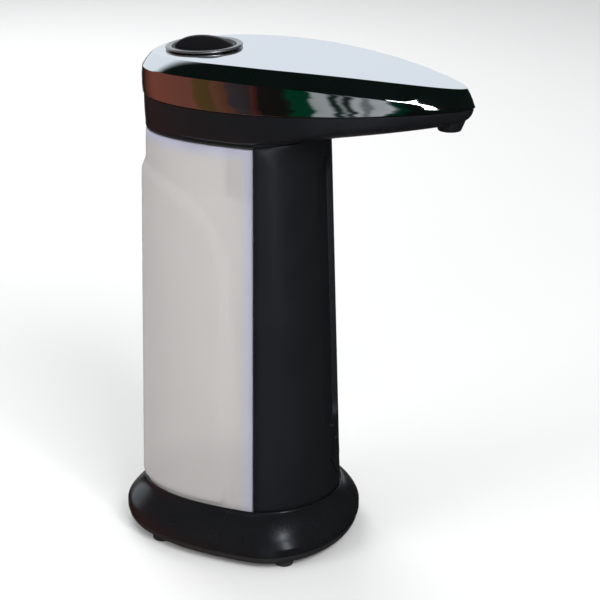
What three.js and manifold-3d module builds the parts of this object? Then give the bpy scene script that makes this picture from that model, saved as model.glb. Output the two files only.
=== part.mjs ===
// Countertop hands-free soap dispenser: a chrome-topped head on a black column and base, with a frosted tank.
// Millimetres, +Z up, nozzle towards -Y. The group's origin is the middle of the footprint, under the feet.
import * as THREE from "three";
import { mergeVertices } from "three/addons/utils/BufferGeometryUtils.js";
import Module from "manifold-3d";

const wasm = await Module();
wasm.setup();

// ---------------------------------------------------------------- driving dimensions
const wall = 2; // every moulded shell
const gap = 0.3; // between pieces that touch
const slip = 0.1; // radial, between a turning shaft and its bore
const sides = 16; // facets of a plain round piece
const beyond = 300; // past every side of the object, for cutting tools

// Plan outlines: half width, the Y of the widest point, front and rear reach, and how square each end is.
const bodyFoot = { half: 31.6, wide: -9.4, front: -36.2, rear: 43.3, nose: 1.86, tail: 2.53 };
const bodyTop = { half: 30.8, wide: -9.4, front: -30.2, rear: 40.8, nose: 1.86, tail: 2.53 };
const baseRim = { half: 41.3, wide: -12.9, front: -43.1, rear: 52.1, nose: 2.03, tail: 2.33 };
const headRim = { half: 34.5, wide: -13, front: -87.1, rear: 41.5, nose: 1.47, tail: 2.42 };
const keel = { half: 23.5, wide: -13, front: -80, rear: 32.5, nose: 1.47, tail: 2.42 };
const noseSteps = 9;
const tailSteps = 8;

// Base
const footHeight = 2.5;
const footRadius = 3.75;
const footSpots = [
  [30.5, -25],
  [27.8, 28.5],
];
const plateThickness = 3;
const shoulderStart = 9; // height where the base's side starts to curve in
const shoulderFullness = 1.25; // 1 would be a straight cone, 2 a quarter-ellipse
const flareShare = 0.85; // how soft the shoulder's upper end is at the rear
const flareFade = [-10, 30]; // it softens between these
const bodyLow = 19.8; // underside of tank and column
const pocketDepth = 1.2; // how deep they stand in the base's top
const deckThickness = 2;

// Column and tank
const bodyHeight = 148.3;
const splitY = -12; // column in front of this plane, tank behind it
const slotWidth = 15;
const slotDepth = 2.5;
const slotRise = 28.7; // slot's lower end above the body's underside
const slotDrop = 9.4; // slot's upper end below the body's top
const arrowTip = 8; // arrow's point above the body's underside
const arrowLength = 15.3;
const arrowHalf = 4.6;
const arrowStem = 1.5;
const arrowProud = 0.7;
const panelProud = 1.7; // raised panel round the tank's back
const panelFront = -1; // its front edge
const panelDrop = 14.5; // its top edge below the tank's rim
const panelFoot = 2.5; // its lower edge above the tank's underside
const panelCorner = [34, 44]; // reach of its rounded upper corner along Y and Z
const gasketThickness = 0.7;

// Head: the heights of its three edges follow crowns with their datum near the rear end
const crownDatum = 35;
const seamCrown = { rise: 12.93, slope: 0.003, bend: -0.132e-3 }; // between chrome and black
const bandCrown = { rise: 23.26, slope: -0.078, bend: 1.215e-3 }; // top of the upright band
const topCrown = { rise: 27.6, slope: -0.078, bend: 1.089e-3 }; // edge of the top face
const bevelInset = { side: 6.9, front: 3.1, rear: 3.5 };
const keelRise = 0.7; // flat underside above the floor of the head
const keelSlope = 0.118; // it climbs towards the nose
const keelStart = -32;
const hullFoot = { half: 30.7, wide: -13, front: -80, rear: 40.7, nose: 1.47, tail: 2.5 };
const footFade = [-42, -6]; // between these the hull's lower line goes from the keel to hullFoot
const footRise = 0.6;

// Filler
const fillerY = 19.2;
const neckBore = 9.2;
const neckWall = 1.4;
const neckDepth = 10; // how far the neck hangs into the tank
const ringOuter = 14.75;
const ringInner = 12.3;
const ringHeight = 1.2;
const plugLength = 11;
const sealSection = 0.8;
const gripHeight = 3.3; // above the ring
const gripThickness = 4.2;

// Nozzle and sensor
const nozzleY = -78;
const nozzleTip = 4.4;
const nozzleRoot = 6;
const nozzleHang = 5.3; // tip above the body's top plane
const nozzleBore = 1.5;
const tubeOuter = 2.5;
const tubeBore = 1.5;
const sensorY = -60;
const sensorWindow = [10, 5.5];

// Pump and drive
const pumpBlock = { half: 12, front: -9.5, depth: 26 };
const pumpToNeck = 2.2; // room between the pump's block and the filler neck
const pumpTeeth = 12;
const pumpModule = 0.8;
const pumpGearHeight = 5;
const driveTeeth = 30;
const pinionTeeth = 10;
const driveModule = 0.5;
const driveGearHeight = 3;
const shaftRadius = 1.25;
const motorRadius = 8;
const motorHeight = 14.8;
const boardThickness = 1.6;

// Batteries
const cellRadius = 5.25;
const cellLength = 44.5;
const cellCount = 4;
const cellPitch = 10.9;
const bayY = 4.75;
const contactDepth = 3;
const trayWall = 1.2;
const doorThickness = 2.4;
const hingeRadius = 1;
const screwShank = 1.1;
const screwHead = 2.3;
const screwHeadHeight = 1.4;
const screwLength = 8;

// ---------------------------------------------------------------- derived levels
const plateLow = footHeight;
const plateTop = plateLow + plateThickness;
const deckTop = bodyLow - gap;
const deckLow = deckTop - deckThickness;
const bodyHigh = bodyLow + bodyHeight;
const headLow = bodyHigh + gap;
const headFloor = headLow + wall;
const tankHigh = bodyHigh - gasketThickness - gap;
const pumpHigh = bodyHigh;
const pumpLow = pumpHigh - pumpBlock.depth;
const pumpRear = fillerY - neckBore - neckWall - pumpToNeck;
const pumpY = (pumpBlock.front + pumpRear) / 2;
const pumpPitch = pumpTeeth * pumpModule;
const drivePitch = ((driveTeeth + pinionTeeth) * driveModule) / 2;
const driveX = -pumpPitch / 2;
const motorX = driveX - drivePitch;

// ---------------------------------------------------------------- finishes
const finish = {
  chrome: { color: 0xdfe3e6, roughness: 0.08, metalness: 1 },
  satinMetal: { color: 0xa9abac, roughness: 0.42, metalness: 0.9 },
  steel: { color: 0xb4b6b8, roughness: 0.35, metalness: 1 },
  blackPlastic: { color: 0x17181a, roughness: 0.38, metalness: 0 },
  glossBlack: { color: 0x0c0d0f, roughness: 0.12, metalness: 0 },
  frosted: { color: 0xcfc8c3, roughness: 0.5, metalness: 0 },
  rubber: { color: 0x151515, roughness: 0.85, metalness: 0 },
  silicone: { color: 0xdad9d4, roughness: 0.6, metalness: 0 },
  nylon: { color: 0xe7e3d6, roughness: 0.5, metalness: 0 },
  board: { color: 0x1f5a34, roughness: 0.45, metalness: 0 },
  jacket: { color: 0x2f4f7a, roughness: 0.3, metalness: 0 },
  wire: { color: 0x8c1f1f, roughness: 0.5, metalness: 0 },
};
const root = new THREE.Group();
const assembly = new THREE.Group();
assembly.position.y = -(headRim.front + baseRim.rear) / 2;
root.add(assembly);

// ---------------------------------------------------------------- solids and meshes
function asSolid(geometry) {
  const bare = geometry.index ? geometry.toNonIndexed() : geometry.clone();
  bare.deleteAttribute("normal");
  bare.deleteAttribute("uv");
  const merged = mergeVertices(bare, 1e-4);
  const vertProperties = merged.attributes.position.array;
  const triVerts = new Uint32Array(merged.index.array);
  return new wasm.Manifold(new wasm.Mesh({ numProp: 3, vertProperties, triVerts }));
}

function asGeometry(solid) {
  const { vertProperties, triVerts } = solid.getMesh();
  const geometry = new THREE.BufferGeometry();
  geometry.setAttribute("position", new THREE.BufferAttribute(vertProperties, 3));
  geometry.setIndex(new THREE.BufferAttribute(triVerts, 1));
  geometry.computeVertexNormals();
  return geometry;
}

function add(name, solid, look, parent = assembly) {
  const mesh = new THREE.Mesh(asGeometry(solid), new THREE.MeshStandardMaterial(look));
  mesh.name = name;
  parent.add(mesh);
  return mesh;
}

const join = (first, ...others) => others.reduce((sum, one) => sum.add(one), first);
const cut = (first, ...others) => others.reduce((rest, one) => rest.subtract(one), first);

// Box from one corner to the other.
function block([x0, y0, z0], [x1, y1, z1]) {
  const box = new THREE.BoxGeometry(x1 - x0, y1 - y0, z1 - z0);
  return asSolid(box.translate((x0 + x1) / 2, (y0 + y1) / 2, (z0 + z1) / 2));
}

// Upright cylinder or cone between two heights.
function rodGeometry(radius, low, high, x = 0, y = 0, topRadius = radius, facets = sides) {
  const round = new THREE.CylinderGeometry(topRadius, radius, high - low, facets);
  return round.rotateX(Math.PI / 2).translate(x, y, (low + high) / 2);
}
const rod = (...sizes) => asSolid(rodGeometry(...sizes));

// Cylinder along X.
function crossRod(radius, x0, x1, y, z) {
  const round = new THREE.CylinderGeometry(radius, radius, x1 - x0, sides);
  return asSolid(round.rotateZ(Math.PI / 2).translate((x0 + x1) / 2, y, z));
}

// Profile of [radius, height] points turned about the Z axis.
function turnedGeometry(profile, facets = sides) {
  const points = profile.map(([r, z]) => new THREE.Vector2(r, z));
  return new THREE.LatheGeometry(points, facets).rotateX(Math.PI / 2);
}

// Flat shape pushed up from one height to another.
function prism(shape, low, high) {
  const raised = new THREE.ExtrudeGeometry(shape, { depth: high - low, bevelEnabled: false });
  return asSolid(raised.translate(0, 0, low));
}

// Shape drawn as seen from the front (X right, Z up), pushed through along Y.
function frontPrism(shape, y0, y1) {
  const pushed = new THREE.ExtrudeGeometry(shape, { depth: y1 - y0, bevelEnabled: false, curveSegments: 8 });
  return asSolid(pushed.rotateX(Math.PI / 2).translate(0, y1, 0));
}

// Round-ended slot between two heights or two reaches, drawn in the shape's own plane.
function slotShape(width, low, high) {
  const r = width / 2;
  const shape = new THREE.Shape();
  shape.absarc(0, high - r, r, 0, Math.PI, false);
  shape.absarc(0, low + r, r, Math.PI, 2 * Math.PI, false);
  return shape;
}

// Round hose with a bore, along a smooth path.
function hose(points, outer, bore, steps) {
  const path = new THREE.CatmullRomCurve3(points.map((p) => new THREE.Vector3(...p)));
  const section = new THREE.Shape().absarc(0, 0, outer, 0, 2 * Math.PI, false);
  if (bore > 0) section.holes.push(new THREE.Path().absarc(0, 0, bore, 0, 2 * Math.PI, true));
  const options = { steps, curveSegments: 4, bevelEnabled: false, extrudePath: path };
  return asSolid(new THREE.ExtrudeGeometry(section, options));
}

// ---------------------------------------------------------------- outlines and lofts
// Outline with every side moved in by the same amount, or by side, front and rear amounts.
function inset(o, by, front = by, rear = by) {
  return { ...o, half: o.half - by, front: o.front + front, rear: o.rear - rear };
}

function blend(a, b, k) {
  const mixed = {};
  for (const key of Object.keys(a)) mixed[key] = a[key] + (b[key] - a[key]) * k;
  return mixed;
}

// Points of an outline from its nose round the right side to its tail and back up the left side.
function outlinePoints(o) {
  const right = [];
  for (let i = 0; i <= noseSteps; i++) {
    const t = (Math.PI / 2) * (i / noseSteps);
    const x = o.half * Math.sin(t) ** (2 / o.nose);
    right.push([x, o.wide + (o.front - o.wide) * Math.max(0, Math.cos(t)) ** (2 / o.nose)]);
  }
  for (let i = 1; i <= tailSteps; i++) {
    const t = (Math.PI / 2) * (i / tailSteps);
    const x = o.half * Math.max(0, Math.cos(t)) ** (2 / o.tail);
    right.push([x, o.wide + (o.rear - o.wide) * Math.sin(t) ** (2 / o.tail)]);
  }
  const last = right.length - 1;
  right[0][0] = 0;
  right[last][0] = 0;
  return [...right, ...right.slice(1, last).reverse().map(([x, y]) => [-x, y])];
}

// Share that eases from 0 to 1, and stays there on either side.
function smooth(share) {
  const k = Math.min(1, Math.max(0, share));
  return k * k * (3 - 2 * k);
}

// Ring of points: an outline at a height, or at a height that depends on Y.
function ring(o, height) {
  return outlinePoints(o).map(([x, y]) => [x, y, typeof height === "function" ? height(y) : height]);
}

// Solid through a stack of levels, lowest first. Each is an outline and its height, or a ring of points.
function loft(levels) {
  const rings = levels.map((level) => (Array.isArray(level[0]) ? level : ring(...level)));
  const count = rings[0].length;
  const middle = noseSteps + tailSteps;
  const index = [];
  for (let k = 0; k + 1 < rings.length; k++) {
    for (let i = 0; i < count; i++) {
      const j = (i + 1) % count;
      const [a, b, c, d] = [k * count + i, k * count + j, (k + 1) * count + j, (k + 1) * count + i];
      index.push(a, b, c, a, c, d);
    }
  }
  const top = (rings.length - 1) * count;
  for (let i = 0; i < middle; i++) {
    const [a, b, c, d] = [i, i + 1, count - i - 1, (count - i) % count];
    if (i < middle - 1) index.push(b, a, c, top + a, top + b, top + c);
    if (i > 0) index.push(c, a, d, top + a, top + c, top + d);
  }
  const geometry = new THREE.BufferGeometry();
  geometry.setAttribute("position", new THREE.Float32BufferAttribute(rings.flat(2), 3));
  geometry.setIndex(index);
  return asSolid(geometry);
}

// Tank and column share one leaning skin; this is that skin moved in, between two heights.
function bodySkin(by, low, high) {
  const at = (z) => inset(blend(bodyFoot, bodyTop, (z - bodyLow) / bodyHeight), by);
  return loft([
    [at(low), low],
    [at(high), high],
  ]);
}

// Height of one of the head's edges, as a function of Y.
function crown({ rise, slope, bend }, drop = 0) {
  return (y) => headLow + rise + slope * (y - crownDatum) - bend * (y - crownDatum) ** 2 - drop;
}

// ---------------------------------------------------------------- base
// Share of the way from the rim in to the body, at a share of the shoulder's height.
function shoulderInset(climb) {
  return 1 - (1 - climb ** shoulderFullness) ** (1 / shoulderFullness);
}

// Levels of the base's side: an upright rim, then a shoulder in front and a softer flare behind.
function shoulder(by, low, high, reach = 0) {
  const steps = 5;
  const rise = bodyLow - shoulderStart;
  const edge = inset(bodyFoot, -reach);
  const [fadeStart, fadeEnd] = flareFade;
  const side = (climb, z) => {
    const shares = [shoulderInset(climb), smooth(climb)];
    const [front, rear] = shares.map((k) => outlinePoints(inset(blend(baseRim, edge, k), by)));
    return front.map(([x, y], i) => {
      const k = flareShare * smooth((y - fadeStart) / (fadeEnd - fadeStart));
      return [x + (rear[i][0] - x) * k, y + (rear[i][1] - y) * k, z];
    });
  };
  const levels = [[inset(baseRim, by), low]];
  for (let i = 0; i <= steps; i++) {
    const climb = Math.sin((Math.PI / 2) * (i / steps)) ** (2 / shoulderFullness);
    const z = shoulderStart + rise * climb;
    if (z < high) levels.push(side(climb, z));
  }
  levels.push(side(Math.min(1, (high - shoulderStart) / rise), high));
  return levels;
}

const trayHigh = deckLow - gap;
const bayHalf = (cellCount * cellPitch) / 2;
const bayFront = bayY - cellLength / 2 - contactDepth;
const bayRear = bayY + cellLength / 2 + contactDepth;
const plateScrews = [
  [30, -6],
  [-30, -6],
  [14, 40.5],
  [-14, 40.5],
];
const columnScrews = [
  [17, -26.5],
  [-17, -26.5],
];
const leadHole = [0, -24];
const leadHoleRadius = 4.5;

function baseShell() {
  const bossRadius = 3;
  const collar = 0.9;
  const outer = loft(shoulder(0, plateTop + gap, bodyLow + pocketDepth - gap, collar));
  const hollow = loft(shoulder(wall, plateTop - wall, deckLow, 0));
  const pocket = bodySkin(-gap, deckTop, bodyHigh);
  let shell = cut(outer, hollow, pocket);
  for (const [x, y] of plateScrews) {
    shell = shell.add(rod(bossRadius, plateTop + gap, deckLow + wall / 2, x, y));
  }
  for (const [x, y] of plateScrews) {
    shell = shell.subtract(rod(screwShank + gap, plateTop, plateTop + screwLength, x, y));
  }
  for (const [x, y] of columnScrews) {
    shell = shell.subtract(rod(screwShank + gap, deckLow - gap, deckTop + gap, x, y));
  }
  shell = shell.subtract(rod(leadHoleRadius, deckLow - gap, deckTop + gap, ...leadHole));
  add("base_shell", shell, finish.blackPlastic);
}

// Battery door, hinged at its rear edge on two pins; it carries a finger notch at the front.
const doorHalf = bayHalf + 1;
const doorFront = bayFront + 0.5;
const hingeY = bayRear;
const hingeZ = plateLow + plateThickness / 2;
const hingePin = 2.4;
const switchY = 44;
const switchTravel = 3;
const knob = [4, 3];

function baseBottomPlate() {
  const rimInset = 0.7;
  const chamfer = 1.4;
  let plate = loft([
    [inset(baseRim, rimInset + chamfer), plateLow],
    [inset(baseRim, rimInset), plateLow + chamfer],
    [inset(baseRim, rimInset), plateTop],
  ]);
  const openingHalf = doorHalf + gap;
  const openingRear = hingeY + doorThickness / 2 + gap;
  const pinReach = openingHalf + hingePin;
  plate = plate.subtract(block([-openingHalf, doorFront - gap, 0], [openingHalf, openingRear, bodyLow]));
  plate = plate.subtract(crossRod(hingeRadius + slip, -pinReach, pinReach, hingeY, hingeZ));
  for (const [x, y] of plateScrews) {
    plate = plate.subtract(rod(screwShank + gap, 0, bodyLow, x, y));
    plate = plate.subtract(rod(screwHead + gap, 0, plateLow + screwHeadHeight + 2 * gap, x, y));
  }
  const [kx, ky] = knob;
  const [x1, y1] = [kx / 2 + switchTravel + gap, ky / 2 + gap];
  plate = plate.subtract(block([-kx / 2 - gap, switchY - y1, 0], [x1, switchY + y1, bodyLow]));
  add("base_bottom_plate", plate, finish.blackPlastic);
}

function batteryDoor() {
  const low = hingeZ - doorThickness / 2;
  const high = hingeZ + doorThickness / 2;
  const notch = 2.5;
  let door = block([-doorHalf, doorFront, low], [doorHalf, hingeY, high]);
  door = door.add(crossRod(doorThickness / 2, -doorHalf, doorHalf, hingeY, hingeZ));
  door = door.add(crossRod(hingeRadius, -doorHalf - hingePin, doorHalf + hingePin, hingeY, hingeZ));
  door = door.subtract(rod(notch * 2, low - gap, hingeZ, 0, doorFront));
  add("battery_door", door, finish.blackPlastic);
}

function batteryBay() {
  const roof = 0.7;
  const [x1, y0, y1] = [bayHalf + trayWall, bayFront - trayWall, bayRear + trayWall];
  const low = plateTop + gap;
  const room = block([-bayHalf, bayFront, 0], [bayHalf, bayRear, trayHigh - roof]);
  const clear = loft(shoulder(wall + gap, low - 1, trayHigh + 1));
  const tray = block([-x1, y0, low], [x1, y1, trayHigh]).intersect(clear);
  add("battery_tray", cut(tray, room), finish.blackPlastic);

  const cellZ = trayHigh - roof - gap - cellRadius;
  const capLength = 1;
  const capRadius = 1.9;
  for (let i = 0; i < cellCount; i++) {
    const x = (i - (cellCount - 1) / 2) * cellPitch;
    const facing = i % 2 ? -1 : 1;
    const body = turnedGeometry([
      [0, -cellLength / 2],
      [cellRadius, -cellLength / 2],
      [cellRadius, cellLength / 2 - capLength],
      [capRadius, cellLength / 2 - capLength],
      [capRadius, cellLength / 2],
      [0, cellLength / 2],
    ]);
    body.rotateX((-facing * Math.PI) / 2).translate(x, bayY, cellZ);
    add(`battery_${i + 1}`, asSolid(body), finish.jacket);
  }

  // Each contact is one strip with a spring cone for every cell that has its flat end there.
  const strip = 0.5;
  const coneHeight = contactDepth - strip - 2 * gap;
  for (const [end, side] of [["front", -1], ["rear", 1]]) {
    const face = side < 0 ? bayFront + gap : bayRear - gap;
    const inner = face - side * strip;
    const span = [-bayHalf + gap, bayHalf - gap];
    const [low0, high0] = [cellZ - cellRadius + gap, cellZ + cellRadius - gap];
    let contact = block([span[0], Math.min(face, inner), low0], [span[1], Math.max(face, inner), high0]);
    for (let i = 0; i < cellCount; i++) {
      if ((i % 2 ? 1 : -1) !== side) continue;
      const x = (i - (cellCount - 1) / 2) * cellPitch;
      const cone = new THREE.CylinderGeometry(1.5, 3.2, coneHeight + strip / 2, sides);
      cone.rotateX(side < 0 ? 0 : Math.PI).translate(x, inner - (side * (coneHeight - strip / 2)) / 2, cellZ);
      contact = contact.add(asSolid(cone));
    }
    add(`battery_contact_${end}`, contact, finish.steel);
  }
}

function powerSwitch() {
  const [kx, ky] = knob;
  const [housingSide, housingHalf, housingHeight] = [5, 2.6, 4];
  const low = plateTop + gap;
  const housing = block(
    [-housingSide, switchY - housingHalf, low],
    [switchTravel + housingSide, switchY + housingHalf, low + housingHeight],
  );
  add("power_switch_body", housing, finish.blackPlastic);
  const slider = block([-kx / 2, switchY - ky / 2, plateLow - 1], [kx / 2, switchY + ky / 2, plateTop]);
  add("power_switch_slider", slider, finish.nylon);
}

// Screw with the face of its head at a height, its shank above the head or, with up -1, below it.
function screw(name, x, y, faceZ, up = 1) {
  const tip = screwHeadHeight + screwLength - 2 * gap;
  const profile = [
    [0, 0],
    [screwHead, 0],
    [screwHead, screwHeadHeight],
    [screwShank, screwHeadHeight],
    [screwShank, tip],
    [0, tip],
  ];
  const geometry = turnedGeometry(profile, 10);
  if (up < 0) geometry.rotateX(Math.PI);
  add(name, cut(asSolid(geometry.translate(x, y, faceZ)), driveRecess(x, y, faceZ, up)), finish.steel);
}

// Cross recess in a screw's head.
function driveRecess(x, y, z, up) {
  const [arm, width, depth] = [1.5, 0.25, 0.7];
  const [z0, z1] = up > 0 ? [z - 1, z + depth] : [z - depth, z + 1];
  const across = block([x - arm, y - width, z0], [x + arm, y + width, z1]);
  const along = block([x - width, y - arm, z0], [x + width, y + arm, z1]);
  return join(across, along);
}

function feetAndScrews() {
  let n = 0;
  for (const [x, y] of footSpots) {
    for (const side of [-1, 1]) {
      n += 1;
      const chamfer = 0.5;
      const foot = turnedGeometry([
        [0, 0],
        [footRadius - chamfer, 0],
        [footRadius, chamfer],
        [footRadius, footHeight - gap],
        [0, footHeight - gap],
      ]);
      add(`foot_${n}`, asSolid(foot.translate(side * x, y, 0)), finish.rubber);
    }
  }
  plateScrews.forEach(([x, y], i) => screw(`plate_screw_${i + 1}`, x, y, plateLow + gap));
  columnScrews.forEach(([x, y], i) => screw(`column_screw_${i + 1}`, x, y, deckLow - gap - screwHeadHeight));
}

// ---------------------------------------------------------------- column
const frontHalf = (y) => block([-beyond, -beyond, -beyond], [beyond, y, beyond]);
const rearHalf = (y) => block([-beyond, y, -beyond], [beyond, beyond, beyond]);

// Parts of the body's skin that lie within a front-drawn shape, down to a depth.
function skinPatch(shape, proud, depth) {
  const through = frontPrism(shape, -beyond, splitY);
  const inside = bodySkin(depth, bodyLow - 1, bodyHigh + 1);
  return cut(through.intersect(bodySkin(-proud, bodyLow, bodyHigh)), inside);
}

function arrowShape() {
  const tip = bodyLow + arrowTip;
  const shoulderZ = tip + arrowHalf * 1.7;
  const shape = new THREE.Shape();
  shape.moveTo(0, tip);
  shape.lineTo(arrowHalf, shoulderZ);
  shape.lineTo(arrowStem, shoulderZ);
  shape.lineTo(arrowStem, tip + arrowLength);
  shape.lineTo(-arrowStem, tip + arrowLength);
  shape.lineTo(-arrowStem, shoulderZ);
  shape.lineTo(-arrowHalf, shoulderZ);
  return shape;
}

function column() {
  const floorTop = bodyLow + wall;
  const slotLow = bodyLow + slotRise;
  const slotHigh = bodyHigh - slotDrop;
  const slot = slotShape(slotWidth, slotLow, slotHigh);
  const backing = slotShape(slotWidth + 2 * wall, slotLow - wall, slotHigh + wall);
  const hollow = cut(
    bodySkin(wall, floorTop, bodyHigh + 1),
    frontPrism(backing, -beyond, splitY).subtract(bodySkin(slotDepth + wall, bodyLow, bodyHigh + 2)),
  );
  let shell = bodySkin(0, bodyLow, bodyHigh).intersect(frontHalf(splitY - gap));
  shell = cut(shell, hollow, skinPatch(slot, 1, slotDepth));
  shell = shell.add(skinPatch(arrowShape(), arrowProud, wall / 2));
  shell = shell.subtract(rod(leadHoleRadius, bodyLow - 1, floorTop + 1, ...leadHole));
  for (const [x, y] of columnScrews) {
    shell = shell.subtract(rod(screwShank + slip, bodyLow - 1, floorTop + 1, x, y));
  }
  add("column_shell", shell, finish.blackPlastic);

  const back = bodySkin(wall + gap, floorTop + gap, bodyHigh - 1);
  const slab = block([-beyond, splitY - wall, -beyond], [beyond, splitY - gap, beyond]);
  add("column_back_plate", back.intersect(slab), finish.blackPlastic);

  const lead = [
    [0, -25, plateTop + 3],
    [0, -24.6, deckLow],
    [0, -22, bodyLow + 14],
    [0, -20, bodyLow + 40],
    [0, -20, bodyHigh - 20],
    [0, -20.5, headFloor],
    [0, -25, headFloor + 6],
  ];
  add("power_lead", hose(lead, 1.8, 0, 18), finish.wire);
}

// ---------------------------------------------------------------- tank
// Outline of the raised panel as seen from the side (X is the object's Y), with a rounded upper corner.
function panelShape() {
  const [reachY, reachZ] = panelCorner;
  const low = bodyLow + panelFoot;
  const high = tankHigh - panelDrop;
  const squareness = 2.4;
  const steps = 8;
  const corner = new THREE.Shape();
  corner.moveTo(panelFront, low);
  corner.lineTo(panelFront, high - reachZ);
  for (let i = 1; i <= steps; i++) {
    const t = (Math.PI / 2) * (i / steps);
    const y = panelFront + reachY * (1 - Math.cos(t) ** (2 / squareness));
    corner.lineTo(y, high - reachZ + reachZ * Math.sin(t) ** (2 / squareness));
  }
  corner.lineTo(beyond, high);
  corner.lineTo(beyond, low);
  return corner;
}

// Turns a shape drawn in X and Y into one standing in the plane of Y and Z.
const upright = new THREE.Matrix4().set(0, 0, 1, 0, 1, 0, 0, 0, 0, 1, 0, 0, 0, 0, 0, 1);

function tank() {
  const floorTop = bodyLow + wall;
  const pushed = new THREE.ExtrudeGeometry(panelShape(), { depth: 2 * beyond, bevelEnabled: false });
  pushed.translate(0, 0, -beyond).applyMatrix4(upright);
  const panel = asSolid(pushed).intersect(bodySkin(-panelProud, bodyLow, bodyHigh));
  const outer = bodySkin(0, bodyLow, tankHigh).intersect(rearHalf(splitY));
  const hollow = bodySkin(wall, floorTop, bodyHigh + 1).intersect(rearHalf(splitY + wall));
  add("tank", cut(outer.add(panel), hollow), finish.frosted);

  const rim = bodySkin(gap, tankHigh + gap, bodyHigh).intersect(rearHalf(splitY));
  const inside = bodySkin(wall, tankHigh, bodyHigh + 1).intersect(rearHalf(splitY + wall));
  add("tank_gasket", cut(rim, inside), finish.rubber);
}

// ---------------------------------------------------------------- filler
// The filler stands square to the head's crowned top, so it leans back a little about its centre.
const fillerTop = crown(topCrown)(fillerY);
const fillerLean = -Math.atan(topCrown.slope - 2 * topCrown.bend * (fillerY - crownDatum));
const filler = new THREE.Group();
filler.position.set(0, fillerY, fillerTop);
filler.rotation.x = -fillerLean;
filler.updateMatrix();
assembly.add(filler);

const neckOuter = neckBore + neckWall;
const neckLow = bodyHigh - neckDepth - fillerTop;
const inFiller = (geometry) => asSolid(geometry.applyMatrix4(filler.matrix));

function fillerParts() {
  const neckHigh = -wall - gap;
  const flangeLow = headFloor + 3 * gap - fillerTop;
  const flangeThickness = 1.2;
  const flangeRadius = neckOuter + 1.4;
  const neck = turnedGeometry([
    [neckBore, neckLow],
    [neckOuter, neckLow],
    [neckOuter, flangeLow],
    [flangeRadius, flangeLow],
    [flangeRadius, flangeLow + flangeThickness],
    [neckOuter, flangeLow + flangeThickness],
    [neckOuter, neckHigh],
    [neckBore, neckHigh],
    [neckBore, neckLow],
  ]);
  add("filler_neck", asSolid(neck), finish.blackPlastic, filler);

  // Plug: a cup that seals in the neck and lifts straight out.
  const plugRadius = neckBore - gap;
  const plugHigh = neckHigh - gap;
  const plugLow = plugHigh - plugLength;
  const sealZ = plugLow + 3;
  const grooveFloor = plugRadius - sealSection;
  const plug = turnedGeometry([
    [0, plugLow],
    [plugRadius, plugLow],
    [plugRadius, sealZ - sealSection],
    [grooveFloor, sealZ - sealSection],
    [grooveFloor, sealZ + sealSection],
    [plugRadius, sealZ + sealSection],
    [plugRadius, plugHigh],
    [plugRadius - wall, plugHigh],
    [plugRadius - wall, plugLow + wall],
    [0, plugLow + wall],
  ]);
  add("cap_plug", asSolid(plug), finish.blackPlastic, filler);

  const sealOuter = neckBore - slip;
  const sealInner = grooveFloor + slip;
  const sealHalf = sealSection - slip;
  const sealShoulder = sealOuter - 0.2;
  const seal = turnedGeometry([
    [sealInner, sealZ - sealHalf],
    [sealShoulder, sealZ - sealHalf],
    [sealOuter, sealZ],
    [sealShoulder, sealZ + sealHalf],
    [sealInner, sealZ + sealHalf],
    [sealInner, sealZ - sealHalf],
  ]);
  add("cap_seal", asSolid(seal), finish.silicone, filler);

  // Cap: a dished disc with an upright half-round grip, inside a metal ring.
  const discRadius = ringInner - gap;
  const discLow = -1;
  const discHigh = ringHeight * 0.6;
  const dishFloor = -0.6;
  const dishRim = 0.9;
  const spigot = plugRadius - wall - gap;
  const disc = turnedGeometry([
    [0, plugLow + wall + gap],
    [spigot, plugLow + wall + gap],
    [spigot, discLow],
    [discRadius, discLow],
    [discRadius, discHigh],
    [discRadius - dishRim, discHigh],
    [discRadius - 3 * dishRim, dishFloor],
    [0, dishFloor],
  ]);
  const gripReach = discRadius - 0.65;
  const gripTop = ringHeight + gripHeight;
  const steps = 14;
  const arch = new THREE.Shape();
  arch.moveTo(-gripReach, discLow);
  arch.lineTo(gripReach, discLow);
  for (let i = 0; i <= steps; i++) {
    const t = Math.PI * (i / steps);
    arch.lineTo(gripReach * Math.cos(t), gripTop * Math.sin(t));
  }
  const grip = new THREE.ExtrudeGeometry(arch, { depth: gripThickness, bevelEnabled: false });
  grip.translate(0, 0, -gripThickness / 2).applyMatrix4(upright);
  add("cap_knob", join(asSolid(disc), asSolid(grip)), finish.blackPlastic, filler);

  const ringSeat = 0.3;
  const ring = turnedGeometry([
    [ringInner, ringSeat],
    [ringOuter, ringSeat],
    [ringOuter, ringHeight * 0.75],
    [ringOuter - 0.5, ringHeight],
    [ringInner, ringHeight * 0.7],
    [ringInner, ringSeat],
  ], 30);
  add("cap_ring", asSolid(ring), finish.satinMetal, filler);
}

// ---------------------------------------------------------------- head
const keelHeight = (y) => headFloor + keelRise - keelSlope * Math.min(0, y - keelStart);

// Lowest line of the hull's side: the keel in front, running out to the body's own outline behind.
function hullLowLine(by, lift) {
  const [fadeStart, fadeEnd] = footFade;
  const foot = outlinePoints(inset(hullFoot, by));
  return outlinePoints(inset(keel, by)).map(([keelX, keelY], i) => {
    const k = smooth((keelY - fadeStart) / (fadeEnd - fadeStart));
    const [x, y] = [keelX + (foot[i][0] - keelX) * k, keelY + (foot[i][1] - keelY) * k];
    return [x, y, keelHeight(y) * (1 - k) + (headLow + footRise) * k + lift];
  });
}

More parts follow.
